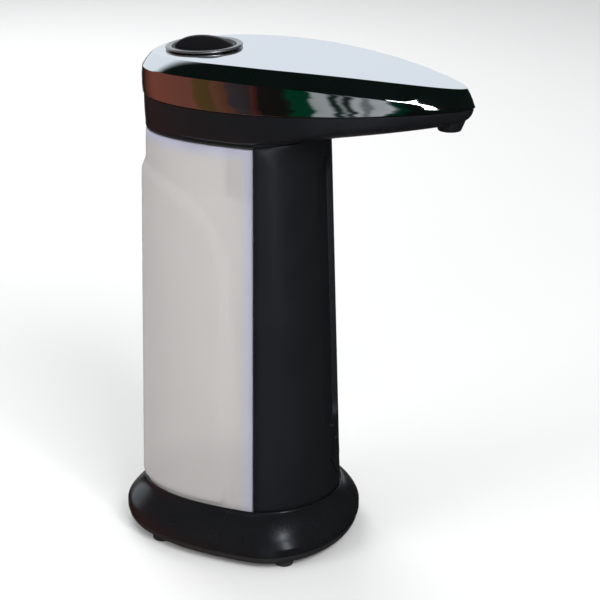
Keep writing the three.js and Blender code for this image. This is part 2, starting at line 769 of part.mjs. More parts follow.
// Black hull: a quarter-round side from its low line up to the seam under the chrome.
function hullLevels(by, lift) {
  const steps = 4;
  const seam = crown(seamCrown, gap);
  const low = hullLowLine(by, lift);
  const rim = outlinePoints(inset(headRim, 0.4 + by));
  const levels = [];
  for (let i = 0; i <= steps; i++) {
    const angle = (Math.PI / 2) * (i / steps);
    const out = Math.sin(angle);
    levels.push(
      low.map(([lowX, lowY, lowZ], j) => {
        const [x, y] = [lowX + (rim[j][0] - lowX) * out, lowY + (rim[j][1] - lowY) * out];
        return [x, y, seam(y) - (seam(y) - lowZ) * Math.cos(angle)];
      }),
    );
  }
  return levels;
}
const hull = () => loft(hullLevels(0, 0));

function windowShape(by) {
  const [w, d] = sensorWindow;
  const r = d / 2 + by;
  const x = w / 2 - d / 2;
  const shape = new THREE.Shape();
  shape.absarc(x, sensorY, r, -Math.PI / 2, Math.PI / 2, false);
  shape.absarc(-x, sensorY, r, Math.PI / 2, (3 * Math.PI) / 2, false);
  return shape;
}

const riser = [6, pumpBlock.front + 2.35];
const riserRadius = 2.4;
const pumpScrews = [
  [9.4, pumpRear - 2.4],
  [-9.4, pumpRear - 2.4],
];
const stemRadius = 3;

function headLowerShell() {
  const skirtHigh = headFloor + keelRise + 4;
  const skirt = loft([
    [bodyTop, headLow],
    [bodyTop, skirtHigh],
  ]);
  const sump = loft([
    [inset(bodyTop, wall), headFloor],
    [inset(bodyTop, wall), skirtHigh],
  ]);
  const inner = hullLevels(wall, wall);
  const hollow = loft([...inner, inner.at(-1).map(([x, y, z]) => [x, y, z + 1])]);
  let shell = cut(hull().add(skirt), sump, hollow);
  shell = shell.subtract(rod(leadHoleRadius, headLow - 1, headFloor + 6, 0, -20.5));
  shell = shell.subtract(rod(riserRadius + gap, headLow - 1, headFloor + 1, ...riser));
  shell = shell.subtract(rod(shaftRadius + 2 * gap, headLow - 1, headFloor + 1, driveX, pumpY));
  for (const [x, y] of pumpScrews) {
    shell = shell.subtract(rod(screwShank + gap, headLow - 1, headFloor + 1, x, y));
  }
  shell = shell.subtract(inFiller(rodGeometry(neckOuter + gap, neckLow, -wall)));
  shell = shell.subtract(rod(stemRadius + gap, headLow, headLow + 16, 0, nozzleY));
  shell = shell.subtract(prism(windowShape(gap), headLow, headLow + 12));
  add("head_lower_shell", shell, finish.glossBlack);
}

function headTopCover() {
  const seam = crown(seamCrown);
  const band = crown(bandCrown);
  const top = crown(topCrown);
  const { side, front, rear } = bevelInset;
  const face = inset(headRim, side, front, rear);
  const outer = loft([
    [headRim, seam],
    [headRim, band],
    [face, top],
  ]);
  const room = inset(headRim, wall);
  const [cornerDrop, cornerInset] = [0.9, 0.7];
  const hollow = loft([
    [room, (y) => seam(y) - 1],
    [room, (y) => Math.max(band(y) - cornerDrop, seam(y) + gap)],
    [inset(face, cornerInset), (y) => top(y) - wall],
  ]);
  const hole = inFiller(rodGeometry(ringInner, -3 * wall, 3 * wall, 0, 0, ringInner, 2 * sides));
  add("head_top_cover", cut(outer, hollow, hole), finish.chrome);
}

function nozzleParts() {
  const low = headLow + nozzleHang;
  const skirtHigh = low + 9;
  const coneHigh = low + 4;
  const cone = rod(nozzleTip, low, coneHigh, 0, nozzleY, nozzleRoot);
  const skirt = cone.add(rod(nozzleRoot, coneHigh, skirtHigh, 0, nozzleY));
  const trimmed = skirt.subtract(hull().translate([0, 0, -gap]));
  const stemHigh = low + 8;
  const stem = rod(stemRadius, low + 1, stemHigh, 0, nozzleY);
  const bore = rod(nozzleBore, low - 1, stemHigh + 1, 0, nozzleY);
  const [biggest] = trimmed.decompose().sort((a, b) => b.volume() - a.volume());
  add("nozzle", cut(biggest.add(stem), bore), finish.blackPlastic);

  const outlet = headFloor + 2.2;
  const run = headLow + 16.4;
  const [rx, ry] = riser;
  const route = [
    [rx, ry, outlet],
    [rx, ry, outlet + 6],
    [rx * 0.9, ry - 4, run - 3],
    [rx * 0.6, ry - 16, run - 0.6],
    [0, -48, run + 0.4],
    [0, nozzleY + 9, run + 1.2],
    [0, nozzleY + 1.4, run - 0.4],
    [0, nozzleY, stemHigh + gap + 1.4],
    [0, nozzleY, stemHigh + gap],
  ];
  add("delivery_tube", hose(route, 2, tubeBore - 0.3, 20), finish.silicone);

  const pane = prism(windowShape(0), headLow, keelHeight(sensorY) + 1.2).intersect(hull());
  add("sensor_window", pane, finish.glossBlack);
  const boardLow = keelHeight(sensorY) + 5;
  const [halfX, halfY] = [6.5, 5];
  const [diodeRadius, diodeLow, diodeX] = [1.4, keelHeight(sensorY) + 1.6, 3];
  let board = block([-halfX, sensorY - halfY, boardLow], [halfX, sensorY + halfY, boardLow + 1]);
  for (const side of [-1, 1]) {
    board = board.add(rod(diodeRadius, diodeLow, boardLow + 0.5, side * diodeX, sensorY));
  }
  add("sensor_board", board, finish.board);
}

function controlBoard() {
  const low = headLow + 8.6;
  const high = low + boardThickness;
  let board = block([-16, -50, low], [16, -28, high]);
  const chips = [
    [-8, -42, 4, 4, 1],
    [6, -44, 3, 2, 1.2],
    [9, -34, 2.2, 2.2, 3],
    [-11, -33, 2.5, 1.5, 1],
  ];
  for (const [x, y, w, d, h] of chips) {
    board = board.add(block([x - w, y - d, high - 0.2], [x + w, y + d, high + h]));
  }
  add("control_board", board, finish.board);
}

// ---------------------------------------------------------------- pump and drive
const toothRise = 0.8; // tooth above the pitch circle, in modules

// Involute spur gear as a flat shape: real flanks, a shortened tip and a little backlash.
function gearShape(teeth, module, bore, turn) {
  const pitch = (teeth * module) / 2;
  const pressure = (20 * Math.PI) / 180;
  const baseCircle = pitch * Math.cos(pressure);
  const tip = pitch + module * toothRise;
  const rootCircle = pitch - module * 1.1;
  const backlash = 0.16 * module;
  const involute = (r) => Math.sqrt((r / baseCircle) ** 2 - 1) - Math.acos(baseCircle / r);
  const halfAtPitch = Math.PI / (2 * teeth) - backlash / (2 * pitch);
  const halfAt = (r) => halfAtPitch + involute(pitch) - involute(Math.max(r, baseCircle));
  const flank = [rootCircle, Math.max(baseCircle, rootCircle + 0.05), pitch, tip];
  const points = [];
  for (let i = 0; i < teeth; i++) {
    const centre = turn + (2 * Math.PI * i) / teeth;
    for (const r of flank) points.push([r, centre - halfAt(r)]);
    for (const r of [...flank].reverse()) points.push([r, centre + halfAt(r)]);
  }
  const shape = new THREE.Shape(points.map(([r, a]) => new THREE.Vector2(r * Math.cos(a), r * Math.sin(a))));
  if (bore > 0) shape.holes.push(new THREE.Path().absarc(0, 0, bore, 0, 2 * Math.PI, true));
  return shape;
}

function gear(teeth, module, bore, turn, low, high, x, y) {
  const shape = gearShape(teeth, module, bore, turn);
  const options = { depth: high - low, bevelEnabled: false, curveSegments: 8 };
  return asSolid(new THREE.ExtrudeGeometry(shape, options).translate(x, y, low));
}

function pumpParts() {
  const { half, front } = pumpBlock;
  const coverThickness = 2.5;
  const gearLow = pumpLow + coverThickness + gap;
  const chamberHigh = gearLow + pumpGearHeight + 2 * slip;
  const chamberRadius = pumpPitch / 2 + pumpModule * toothRise + 0.15;
  const port = 1.5;
  const idlerX = -driveX;

  let body = block([-half, front, pumpLow + coverThickness + gap], [half, pumpRear, pumpHigh - gap]);
  for (const x of [driveX, idlerX]) {
    body = body.subtract(rod(chamberRadius, gearLow - 1, chamberHigh, x, pumpY, chamberRadius, 2 * sides));
  }
  body = body.subtract(block([-port, pumpY - 6, gearLow - 1], [port, pumpY + 6, chamberHigh]));
  const [rx, ry] = riser;
  body = body.add(rod(riserRadius, pumpHigh - 1, headFloor + 1.9, rx, ry));
  const gallery = [rx + port - 0.4, ry + port, chamberHigh + 2];
  body = body.subtract(block([-port, ry - port + 0.4, chamberHigh - 0.5], gallery));
  body = body.subtract(rod(port - 0.3, chamberHigh, headFloor + 3, rx, ry));
  body = body.subtract(rod(shaftRadius + slip, gearLow, pumpHigh, driveX, pumpY));
  body = body.subtract(rod(shaftRadius + slip, gearLow, chamberHigh + 3, idlerX, pumpY));
  for (const [x, y] of pumpScrews) {
    body = body.subtract(rod(screwShank + slip, pumpHigh - 9, pumpHigh, x, y));
  }
  add("pump_body", body, finish.blackPlastic);

  const inlet = [0, pumpY + 4.2];
  let cover = block([-half, front, pumpLow], [half, pumpRear, pumpLow + coverThickness]);
  cover = cover.add(rod(3.4, pumpLow - 4, pumpLow + 0.5, ...inlet));
  cover = cover.subtract(rod(port, pumpLow - 5, pumpLow + coverThickness + 1, ...inlet));
  add("pump_cover", cover, finish.blackPlastic);

  // Drive shaft with the pump gear on its lower end; the reduction gear is keyed to its top.
  const driveLow = headFloor + 2.8;
  const driveHigh = driveLow + driveGearHeight;
  const pumpGearHigh = gearLow + pumpGearHeight;
  const flat = 0.35;
  let shaft = gear(pumpTeeth, pumpModule, 0, 0, gearLow + slip, pumpGearHigh, driveX, pumpY);
  shaft = shaft.add(rod(shaftRadius, gearLow + slip, driveHigh, driveX, pumpY));
  const flatX = driveX + shaftRadius - flat;
  const key = block([flatX, pumpY - 3, driveLow - gap], [driveX + 3, pumpY + 3, driveHigh + 1]);
  add("pump_drive_gear", shaft.subtract(key), finish.steel);
  const halfTooth = Math.PI / pumpTeeth;
  let idler = gear(pumpTeeth, pumpModule, 0, halfTooth, gearLow + slip, pumpGearHigh, idlerX, pumpY);
  idler = idler.add(rod(shaftRadius, gearLow + slip, chamberHigh + 2.7, idlerX, pumpY));
  add("pump_idler_gear", idler, finish.steel);

  const keyed = rod(shaftRadius + slip, driveLow - 1, driveHigh + 1, driveX, pumpY).subtract(
    block([flatX + slip, pumpY - 3, driveLow - 2], [driveX + 3, pumpY + 3, driveHigh + 2]),
  );
  const wheel = gear(driveTeeth, driveModule, 0, 0, driveLow, driveHigh, driveX, pumpY).subtract(keyed);
  add("reduction_gear", wheel, finish.nylon);

  // Motor on its bracket, beside the reduction gear, with the pinion hanging from its shaft.
  const bracketLow = driveHigh + 0.6;
  const bracketHigh = bracketLow + 1.2;
  const motorLow = bracketHigh + gap;
  const shaftThin = 0.75;
  const left = motorX - motorRadius - 3;
  const right = motorX + motorRadius;
  const nearY = pumpY - 9.8;
  const farY = pumpY + motorRadius;
  const foot = headFloor + 2.7;
  let bracket = block([left, nearY - 1.2, bracketLow], [right, farY, bracketHigh]);
  bracket = bracket.add(block([left, nearY - 1.2, foot], [left + 1.2, farY, bracketLow + 0.5]));
  bracket = bracket.add(block([left, nearY - 1.2, foot], [right, nearY, bracketLow + 0.5]));
  bracket = bracket.subtract(rod(shaftThin + 0.6, bracketLow - 1, bracketHigh + 1, motorX, pumpY));
  add("motor_bracket", bracket, finish.steel);

  const well = 3;
  const canHigh = motorLow + motorHeight;
  let can = rod(motorRadius, motorLow, canHigh, motorX, pumpY);
  can = can.subtract(rod(shaftThin + slip, motorLow - 1, motorLow + well + gap, motorX, pumpY));
  for (const side of [-1, 1]) {
    can = can.add(rod(0.5, canHigh - 0.5, canHigh + 1.2, motorX + side * 4, pumpY));
  }
  add("motor_can", can, finish.steel);
  const mesh = Math.PI / pinionTeeth;
  let pinion = gear(pinionTeeth, driveModule, 0, mesh, driveLow, driveHigh + gap, motorX, pumpY);
  pinion = pinion.add(rod(shaftThin, driveLow, motorLow + well, motorX, pumpY));
  add("motor_pinion", pinion, finish.steel);

  const screwFace = headFloor + gap + screwHeadHeight;
  pumpScrews.forEach(([x, y], i) => screw(`pump_screw_${i + 1}`, x, y, screwFace, -1));

  // Suction tube and the strainer on its foot.
  const tubeHigh = pumpLow - 4 - gap;
  const strainerLow = bodyLow + wall + gap;
  const strainerHigh = strainerLow + 8;
  const tube = rod(tubeOuter, strainerHigh - 3, tubeHigh, ...inlet);
  add("suction_tube", tube.subtract(rod(tubeBore, 0, beyond, ...inlet)), finish.silicone);
  const strainer = turnedGeometry([
    [0, 1.4],
    [4.6, 1.4],
    [4.6, 0],
    [5.6, 0],
    [5.6, 4],
    [3.6, 8],
    [tubeOuter + slip, 8],
    [tubeOuter + slip, 4.6],
    [tubeBore, 4.6],
    [0, 2.6],
  ]);
  add("inlet_strainer", asSolid(strainer.translate(inlet[0], inlet[1], strainerLow)), finish.blackPlastic);
}

baseShell();
baseBottomPlate();
batteryDoor();
batteryBay();
powerSwitch();
feetAndScrews();
column();
tank();
fillerParts();
headLowerShell();
headTopCover();
nozzleParts();
controlBoard();
pumpParts();

export default root;
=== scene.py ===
"""Countertop hands-free soap dispenser: its visible surfaces and finishes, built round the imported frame."""

import math
from collections import namedtuple

import bmesh
import bpy
from mathutils import Matrix, Quaternion, Vector


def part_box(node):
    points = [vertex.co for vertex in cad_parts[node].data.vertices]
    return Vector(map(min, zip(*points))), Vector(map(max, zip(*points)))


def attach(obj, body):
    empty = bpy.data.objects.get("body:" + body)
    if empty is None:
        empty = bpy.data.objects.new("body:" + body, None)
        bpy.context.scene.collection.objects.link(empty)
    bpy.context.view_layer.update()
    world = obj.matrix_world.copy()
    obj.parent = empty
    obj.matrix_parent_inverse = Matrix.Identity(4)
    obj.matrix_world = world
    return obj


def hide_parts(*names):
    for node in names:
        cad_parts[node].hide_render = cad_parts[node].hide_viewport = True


bl_info = {
    "name": "Countertop Soap Dispenser",
    "version": (1, 0, 0),
    "blender": (4, 5, 0),
    "location": "View3D > Sidebar > Dispenser",
    "description": "Builds a hands-free soap dispenser piece by piece",
    "category": "Add Mesh",
}

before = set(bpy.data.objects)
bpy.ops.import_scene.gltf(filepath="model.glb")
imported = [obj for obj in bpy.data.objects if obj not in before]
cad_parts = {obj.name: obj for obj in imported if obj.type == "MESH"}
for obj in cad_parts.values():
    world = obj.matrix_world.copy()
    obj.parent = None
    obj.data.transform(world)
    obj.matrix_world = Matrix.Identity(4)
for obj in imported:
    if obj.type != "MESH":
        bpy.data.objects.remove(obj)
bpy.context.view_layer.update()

# ------------------------------------------------------------------ sizes, in millimetres
# Shapes are drawn in millimetres round the bottle's own axis, then moved into the frame.
MM = 0.001
ROOT = "dispenser"

# Plan outline: half width, Y of the widest point, front and rear reach, squareness of nose and tail, nose radius.
Outline = namedtuple("Outline", "half wide front rear nose tail soft")
BODY_FOOT = Outline(31.6, -9.4, -36.2, 43.3, 1.86, 2.53, 0)
BODY_TOP = Outline(30.8, -9.4, -30.2, 40.8, 1.86, 2.53, 0)
BASE_RIM = Outline(41.3, -12.9, -43.1, 52.1, 2.03, 2.33, 0)
HEAD_RIM = Outline(34.5, -13, -87.1, 41.5, 1.47, 2.42, 2.2)
KEEL = Outline(23.5, -13, -80, 32.5, 1.47, 2.42, 2.2)

AXIS_Y = -(HEAD_RIM.front + BASE_RIM.rear) / 2  # from the bottle's axis to the frame's origin
TO_FRAME = Matrix.Scale(MM, 4) @ Matrix.Translation((0, AXIS_Y, 0))


def level(node, top=False):
    """Height of a CAD node's underside or top, in millimetres."""
    low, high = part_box(node)
    return (high.z if top else low.z) / MM


BODY_LOW = level("column_shell")
BODY_HIGH = level("column_shell", top=True)
TANK_HIGH = level("tank", top=True)
HEAD_LOW = level("head_lower_shell")
PLATE_LOW = level("base_bottom_plate")
PLATE_HIGH = level("base_bottom_plate", top=True)
SHELL_LOW = level("base_shell")
SHELL_HIGH = level("base_shell", top=True)
SPLIT_Y = -12

# The head's edges: each is a crown along Y, given as rise over the head's underside, slope and bend.
CROWN_DATUM = 35
SEAM = (12.93, 0.003, -0.132e-3)
BAND = (23.26, -0.078, 1.215e-3)
FACE = (27.6, -0.078, 1.089e-3)
FILLER_Y = 19.2
FILLER_HOLE = 13.2
NOZZLE_Y = -78
SENSOR_Y = -60


def crown(edge, y):
    rise, slope, bend = edge
    return HEAD_LOW + rise + slope * (y - CROWN_DATUM) - bend * (y - CROWN_DATUM) ** 2


FILLER_LEAN = -math.atan(FACE[1] - 2 * FACE[2] * (FILLER_Y - CROWN_DATUM))
TO_FILLER = TO_FRAME @ Matrix.Translation((0, FILLER_Y, crown(FACE, FILLER_Y))) @ Matrix.Rotation(-FILLER_LEAN, 4, "X")


# ------------------------------------------------------------------ settings
class DispenserSettings(bpy.types.PropertyGroup):
    """Sizes and colours that can be changed without touching the frame."""

    cover_edge: bpy.props.FloatProperty(
        name="Cover edge", description="Rounding of the chrome cover's edges, mm", default=0.7, min=0.1
    )
    cover_wall: bpy.props.FloatProperty(name="Cover wall", description="Wall of the chrome cover, mm", default=1.8)
    shell_wall: bpy.props.FloatProperty(name="Shell wall", description="Wall of the black shells, mm", default=1.7)
    slot_depth: bpy.props.FloatProperty(name="Slot depth", description="Depth of the column's recess, mm", default=2.3)
    arrow_proud: bpy.props.FloatProperty(name="Arrow height", description="Height of the arrow mark, mm", default=0.7)
    panel_proud: bpy.props.FloatProperty(name="Panel height", description="Step of the tank's panel, mm", default=1.7)
    tank_wall: bpy.props.FloatProperty(name="Tank wall", description="Wall of the tank, mm", default=1.7)
    grip_top: bpy.props.FloatProperty(name="Grip height", description="Top of the cap's grip over the ring, mm", default=3.2)
    chrome_colour: bpy.props.FloatVectorProperty(
        name="Chrome", description="Tint of the plating", subtype="COLOR", default=(0.82, 0.84, 0.87)
    )
    black_colour: bpy.props.FloatVectorProperty(
        name="Black shells", description="Colour of the glossy shells", subtype="COLOR", default=(0.006, 0.006, 0.007)
    )
    tank_colour: bpy.props.FloatVectorProperty(
        name="Tank", description="Colour of the frosted tank", subtype="COLOR", default=(0.7, 0.678, 0.665)
    )
    ring_colour: bpy.props.FloatVectorProperty(
        name="Ring", description="Colour of the cap's ring", subtype="COLOR", default=(0.42, 0.42, 0.43)
    )


# ------------------------------------------------------------------ outlines
def inset(o, side, front=None, rear=None):
    """The outline moved in at its sides, its front and its rear."""
    front = side if front is None else front
    rear = side if rear is None else rear
    return o._replace(half=o.half - side, front=o.front + front, rear=o.rear - rear)


def eased(value, start, end):
    """Share that eases from 0 at the start to 1 at the end."""
    k = min(1.0, max(0.0, (value - start) / (end - start)))
    return k * k * (3 - 2 * k)


def blend(a, b, k):
    return Outline(*(p + (q - p) * k for p, q in zip(a, b)))


def rim(o, turn):
    """Point of an outline at a share of the way round, from the nose over the right side."""
    quarter = (turn % 1.0) * 4
    side = 1 if quarter <= 2 else -1
    quarter = min(quarter, 4 - quarter)
    if quarter <= 1:
        x = o.half * math.sin(quarter * math.pi / 2) ** (2 / o.nose)
        power = lambda reach: (reach**2 + o.soft**2) ** (o.nose / 2) - o.soft**o.nose
        y = o.wide + (o.front - o.wide) * max(0.0, 1 - power(x) / power(o.half)) ** (1 / o.nose)
        return side * x, y
    angle = (quarter - 1) * math.pi / 2
    x = o.half * max(0.0, math.cos(angle)) ** (2 / o.tail)
    return side * x, o.wide + (o.rear - o.wide) * math.sin(angle) ** (2 / o.tail)


def ring(o, height):
    """Level of a loft: an outline at a height, or at a height that depends on Y."""
    def place(turn):
        x, y = rim(o, turn)
        return Vector((x, y, height(y) if callable(height) else height))
    return place


def spine(o, height, share=0.0):
    """Level of a loft that has closed in to a share of an outline's width."""
    def place(turn):
        x, y = rim(o, turn)
        return Vector((x * share, y, height(y) if callable(height) else height))
    return place


# ------------------------------------------------------------------ mesh helpers
def sheet(columns, rows, place):
    """Grid whose points go where place(column, row) says; each point keeps its row number."""
    bm = bmesh.new()
    row_of = bm.verts.layers.int.new("row")
    bmesh.ops.create_grid(bm, x_segments=columns, y_segments=rows, size=0.5)
    for vert in bm.verts:
        column = round((vert.co.x + 0.5) * columns)
        row = round((vert.co.y + 0.5) * rows)
        vert.co = place(column, row)
        vert[row_of] = row
    return bm


def loft(levels, columns=160, closed=False, rounded=None):
    """Skin through levels; closed joins the last to the first. rounded gives {level: edge radius}."""
    stack = levels + levels[:1] if closed else levels
    bm = sheet(columns, len(stack) - 1, lambda column, row: stack[row](column / columns))
    bmesh.ops.remove_doubles(bm, verts=bm.verts, dist=1e-4)
    row_of = bm.verts.layers.int["row"]
    for row, radius in (rounded or {}).items():
        edges = [e for e in bm.edges if e.verts[0][row_of] == row == e.verts[1][row_of]]
        bevel(bm, edges, radius)
    return bm


def bevel(bm, edges, width, segments=4):
    bmesh.ops.bevel(
        bm, geom=edges, offset=width, offset_type="OFFSET", segments=segments, profile=0.5,
        affect="EDGES", material=-1, clamp_overlap=True,
    )


def round_edges(bm, width, angle=30, segments=3):
    """Rounds every edge sharper than an angle."""
    bm.normal_update()
    sharp = [e for e in bm.edges if len(e.link_faces) == 2 and e.calc_face_angle(0) > math.radians(angle)]
    bevel(bm, sharp, width, segments)


def turned(profile, steps=96):
    """Profile of (radius, height) points spun round the Z axis."""
    bm = bmesh.new()
    verts = [bm.verts.new((r, 0, z)) for r, z in profile]
    edges = [bm.edges.new(pair) for pair in zip(verts, verts[1:])]
    bmesh.ops.spin(
        bm, geom=verts + edges, cent=(0, 0, 0), axis=(0, 0, 1), angle=math.tau, steps=steps, use_merge=True
    )
    bmesh.ops.remove_doubles(bm, verts=bm.verts, dist=1e-4)
    return bm


def prism(points, low, high):
    """Closed outline of (x, y) points pushed up between two heights."""
    bm = bmesh.new()
    face = bm.faces.new([bm.verts.new((x, y, low)) for x, y in points])
    out = bmesh.ops.extrude_face_region(bm, geom=[face])
    top = [g for g in out["geom"] if isinstance(g, bmesh.types.BMVert)]
    bmesh.ops.translate(bm, verts=top, vec=(0, 0, high - low))
    return bm


def box(low, high):
    bm = bmesh.new()
    bmesh.ops.create_cube(bm, size=1)
    low, high = Vector(low), Vector(high)
    span = high - low
    bmesh.ops.scale(bm, vec=span, verts=bm.verts)
    bmesh.ops.translate(bm, vec=(low + high) / 2, verts=bm.verts)
    return bm


def rod(radius, low, high, x=0, y=0, top=None, steps=64):
    bm = bmesh.new()
    bmesh.ops.create_cone(
        bm, cap_ends=True, segments=steps, radius1=radius, radius2=radius if top is None else top, depth=high - low
    )
    bmesh.ops.translate(bm, vec=(x, y, (low + high) / 2), verts=bm.verts)
    return bm


def tidy(bm):
    bmesh.ops.remove_doubles(bm, verts=bm.verts, dist=1e-4)
    bmesh.ops.dissolve_degenerate(bm, edges=bm.edges, dist=1e-4)
    bmesh.ops.recalc_face_normals(bm, faces=bm.faces)


def mesh_object(name, bm, matrix=TO_FRAME):
    tidy(bm)
    bmesh.ops.transform(bm, matrix=matrix, verts=bm.verts)
    mesh = bpy.data.meshes.new(name)
    bm.to_mesh(mesh)
    bm.free()
    obj = bpy.data.objects.new(name, mesh)
    bpy.context.scene.collection.objects.link(obj)
    return obj


def carve(obj, *cutters, operation="DIFFERENCE"):
    """Cuts or joins solids into an object and applies the result; each cutter is a bmesh in millimetres."""
    helpers = []
    for cutter in cutters:
        helper = mesh_object(obj.name + "_cutter", cutter)
        step = obj.modifiers.new("carve", "BOOLEAN")
        step.operation = operation
        step.solver = "EXACT"
        step.object = helper
        helpers.append(helper)
    applied(obj)
    for helper in helpers:
        bpy.data.objects.remove(helper)
    return obj


def applied(obj):
    """Applies an object's modifiers to its mesh."""
    shape = obj.evaluated_get(bpy.context.evaluated_depsgraph_get())
    mesh = bpy.data.meshes.new_from_object(shape)
    obj.modifiers.clear()
    obj.data = mesh
    return obj


def finished(obj, look, body=ROOT, replaces=(), sharp=35):
    """Smooth shading, material and place in the assembly."""
    for polygon in obj.data.polygons:
        polygon.use_smooth = True
    obj.data.set_sharp_from_angle(angle=math.radians(sharp))
    obj.data.materials.clear()
    obj.data.materials.append(look)
    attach(obj, body)
    if replaces:
        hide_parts(*replaces)
    return obj


def wall(obj, thickness):
    """Gives an open skin a wall on its inner side."""
    step = obj.modifiers.new("wall", "SOLIDIFY")
    step.thickness = thickness * MM
    step.offset = -1
    step.use_even_offset = True
    return applied(obj)


# ------------------------------------------------------------------ shader groups
def node(tree, kind, values=None, **facts):
    made = tree.nodes.new(kind)
    for key, value in facts.items():
        setattr(made, key, value)
    for key, value in (values or {}).items():
        made.inputs[key].default_value = value
    return made


def new_group(name, inputs, outputs):
    """Empty shader group with named sockets; inputs are {name: (type, default)}, outputs {name: type}."""
    tree = bpy.data.node_groups.new(name, "ShaderNodeTree")
    for title, (kind, default) in inputs.items():
        socket = tree.interface.new_socket(title, in_out="INPUT", socket_type="NodeSocket" + kind)
        if default is not None:
            socket.default_value = default
    for title, kind in outputs.items():
        tree.interface.new_socket(title, in_out="OUTPUT", socket_type="NodeSocket" + kind)
    return tree, tree.nodes.new("NodeGroupInput").outputs, tree.nodes.new("NodeGroupOutput").inputs


def patches_group():
    """Slow variation between two values: handling marks, and unevenness of a finish."""
    tree, given, out = new_group(
        "Patches",
        {"Vector": ("Vector", None), "Scale": ("Float", 40.0), "Low": ("Float", 0.2), "High": ("Float", 0.4)},
        {"Value": "Float"},
    )
    noise = node(tree, "ShaderNodeTexNoise", {"Detail": 3.0, "Roughness": 0.55})
    spread = node(tree, "ShaderNodeMapRange", {"From Min": 0.3, "From Max": 0.7})
    tree.links.new(given["Vector"], noise.inputs["Vector"])
    tree.links.new(given["Scale"], noise.inputs["Scale"])
    tree.links.new(noise.outputs["Fac"], spread.inputs["Value"])
    tree.links.new(given["Low"], spread.inputs["To Min"])
    tree.links.new(given["High"], spread.inputs["To Max"])
    tree.links.new(spread.outputs["Result"], out["Value"])
    return tree


def tint_group():
    """Colour that drifts between two close shades."""
    tree, given, out = new_group(
        "Tint",
        {
            "Vector": ("Vector", None), "Scale": ("Float", 30.0),
            "First": ("Color", (0.5, 0.5, 0.5, 1)), "Second": ("Color", (0.6, 0.6, 0.6, 1)),
        },
        {"Color": "Color"},
    )
    noise = node(tree, "ShaderNodeTexNoise", {"Detail": 4.0})
    mix = node(tree, "ShaderNodeMix", data_type="RGBA")
    tree.links.new(given["Vector"], noise.inputs["Vector"])
    tree.links.new(given["Scale"], noise.inputs["Scale"])
    tree.links.new(noise.outputs["Fac"], mix.inputs["Factor"])
    tree.links.new(given["First"], mix.inputs["A"])
    tree.links.new(given["Second"], mix.inputs["B"])
    tree.links.new(mix.outputs["Result"], out["Color"])
    return tree


def grain_group():
    """Height of a fine spark-eroded moulding texture, with a coarser orange peel under it."""
    tree, given, out = new_group(
        "Grain",
        {"Vector": ("Vector", None), "Scale": ("Float", 1500.0), "Peel": ("Float", 0.3)},
        {"Height": "Float"},
    )
    cells = node(tree, "ShaderNodeTexVoronoi", feature="SMOOTH_F1")
    peel = node(tree, "ShaderNodeTexNoise", {"Scale": 160.0, "Detail": 2.0})
    part = node(tree, "ShaderNodeMath", operation="MULTIPLY")
    total = node(tree, "ShaderNodeMath", operation="ADD")
    for texture in (cells, peel):
        tree.links.new(given["Vector"], texture.inputs["Vector"])
    tree.links.new(given["Scale"], cells.inputs["Scale"])
    tree.links.new(peel.outputs["Fac"], part.inputs[0])
    tree.links.new(given["Peel"], part.inputs[1])
    tree.links.new(cells.outputs["Distance"], total.inputs[0])
    tree.links.new(part.outputs["Value"], total.inputs[1])
    tree.links.new(total.outputs["Value"], out["Height"])
    return tree


def dust_group():
    """Mask of the fine dust that settles where a surface faces up."""
    tree, given, out = new_group(
        "Dust", {"Vector": ("Vector", None), "Amount": ("Float", 0.3)}, {"Mask": "Float"}
    )
    facing = tree.nodes.new("ShaderNodeNewGeometry")
    split = tree.nodes.new("ShaderNodeSeparateXYZ")
    up = node(tree, "ShaderNodeMapRange", {"From Min": 0.45, "From Max": 1.0})
    speck = node(tree, "ShaderNodeTexNoise", {"Scale": 900.0, "Detail": 5.0, "Roughness": 0.7})
    sparse = node(tree, "ShaderNodeMapRange", {"From Min": 0.42, "From Max": 0.75})
    both = node(tree, "ShaderNodeMath", operation="MULTIPLY")
    scaled = node(tree, "ShaderNodeMath", operation="MULTIPLY", use_clamp=True)
    tree.links.new(facing.outputs["Normal"], split.inputs["Vector"])
    tree.links.new(split.outputs["Z"], up.inputs["Value"])
    tree.links.new(given["Vector"], speck.inputs["Vector"])
    tree.links.new(speck.outputs["Fac"], sparse.inputs["Value"])
    tree.links.new(up.outputs["Result"], both.inputs[0])
    tree.links.new(sparse.outputs["Result"], both.inputs[1])
    tree.links.new(both.outputs["Value"], scaled.inputs[0])
    tree.links.new(given["Amount"], scaled.inputs[1])
    tree.links.new(scaled.outputs["Value"], out["Mask"])
    return tree


GROUPS = {}


def group(name):
    """The shared group of that name, built once."""
    if name not in GROUPS:
        GROUPS[name] = {"Patches": patches_group, "Tint": tint_group, "Grain": grain_group, "Dust": dust_group}[name]()
    return GROUPS[name]


# ------------------------------------------------------------------ finishes
LOOKS = {}


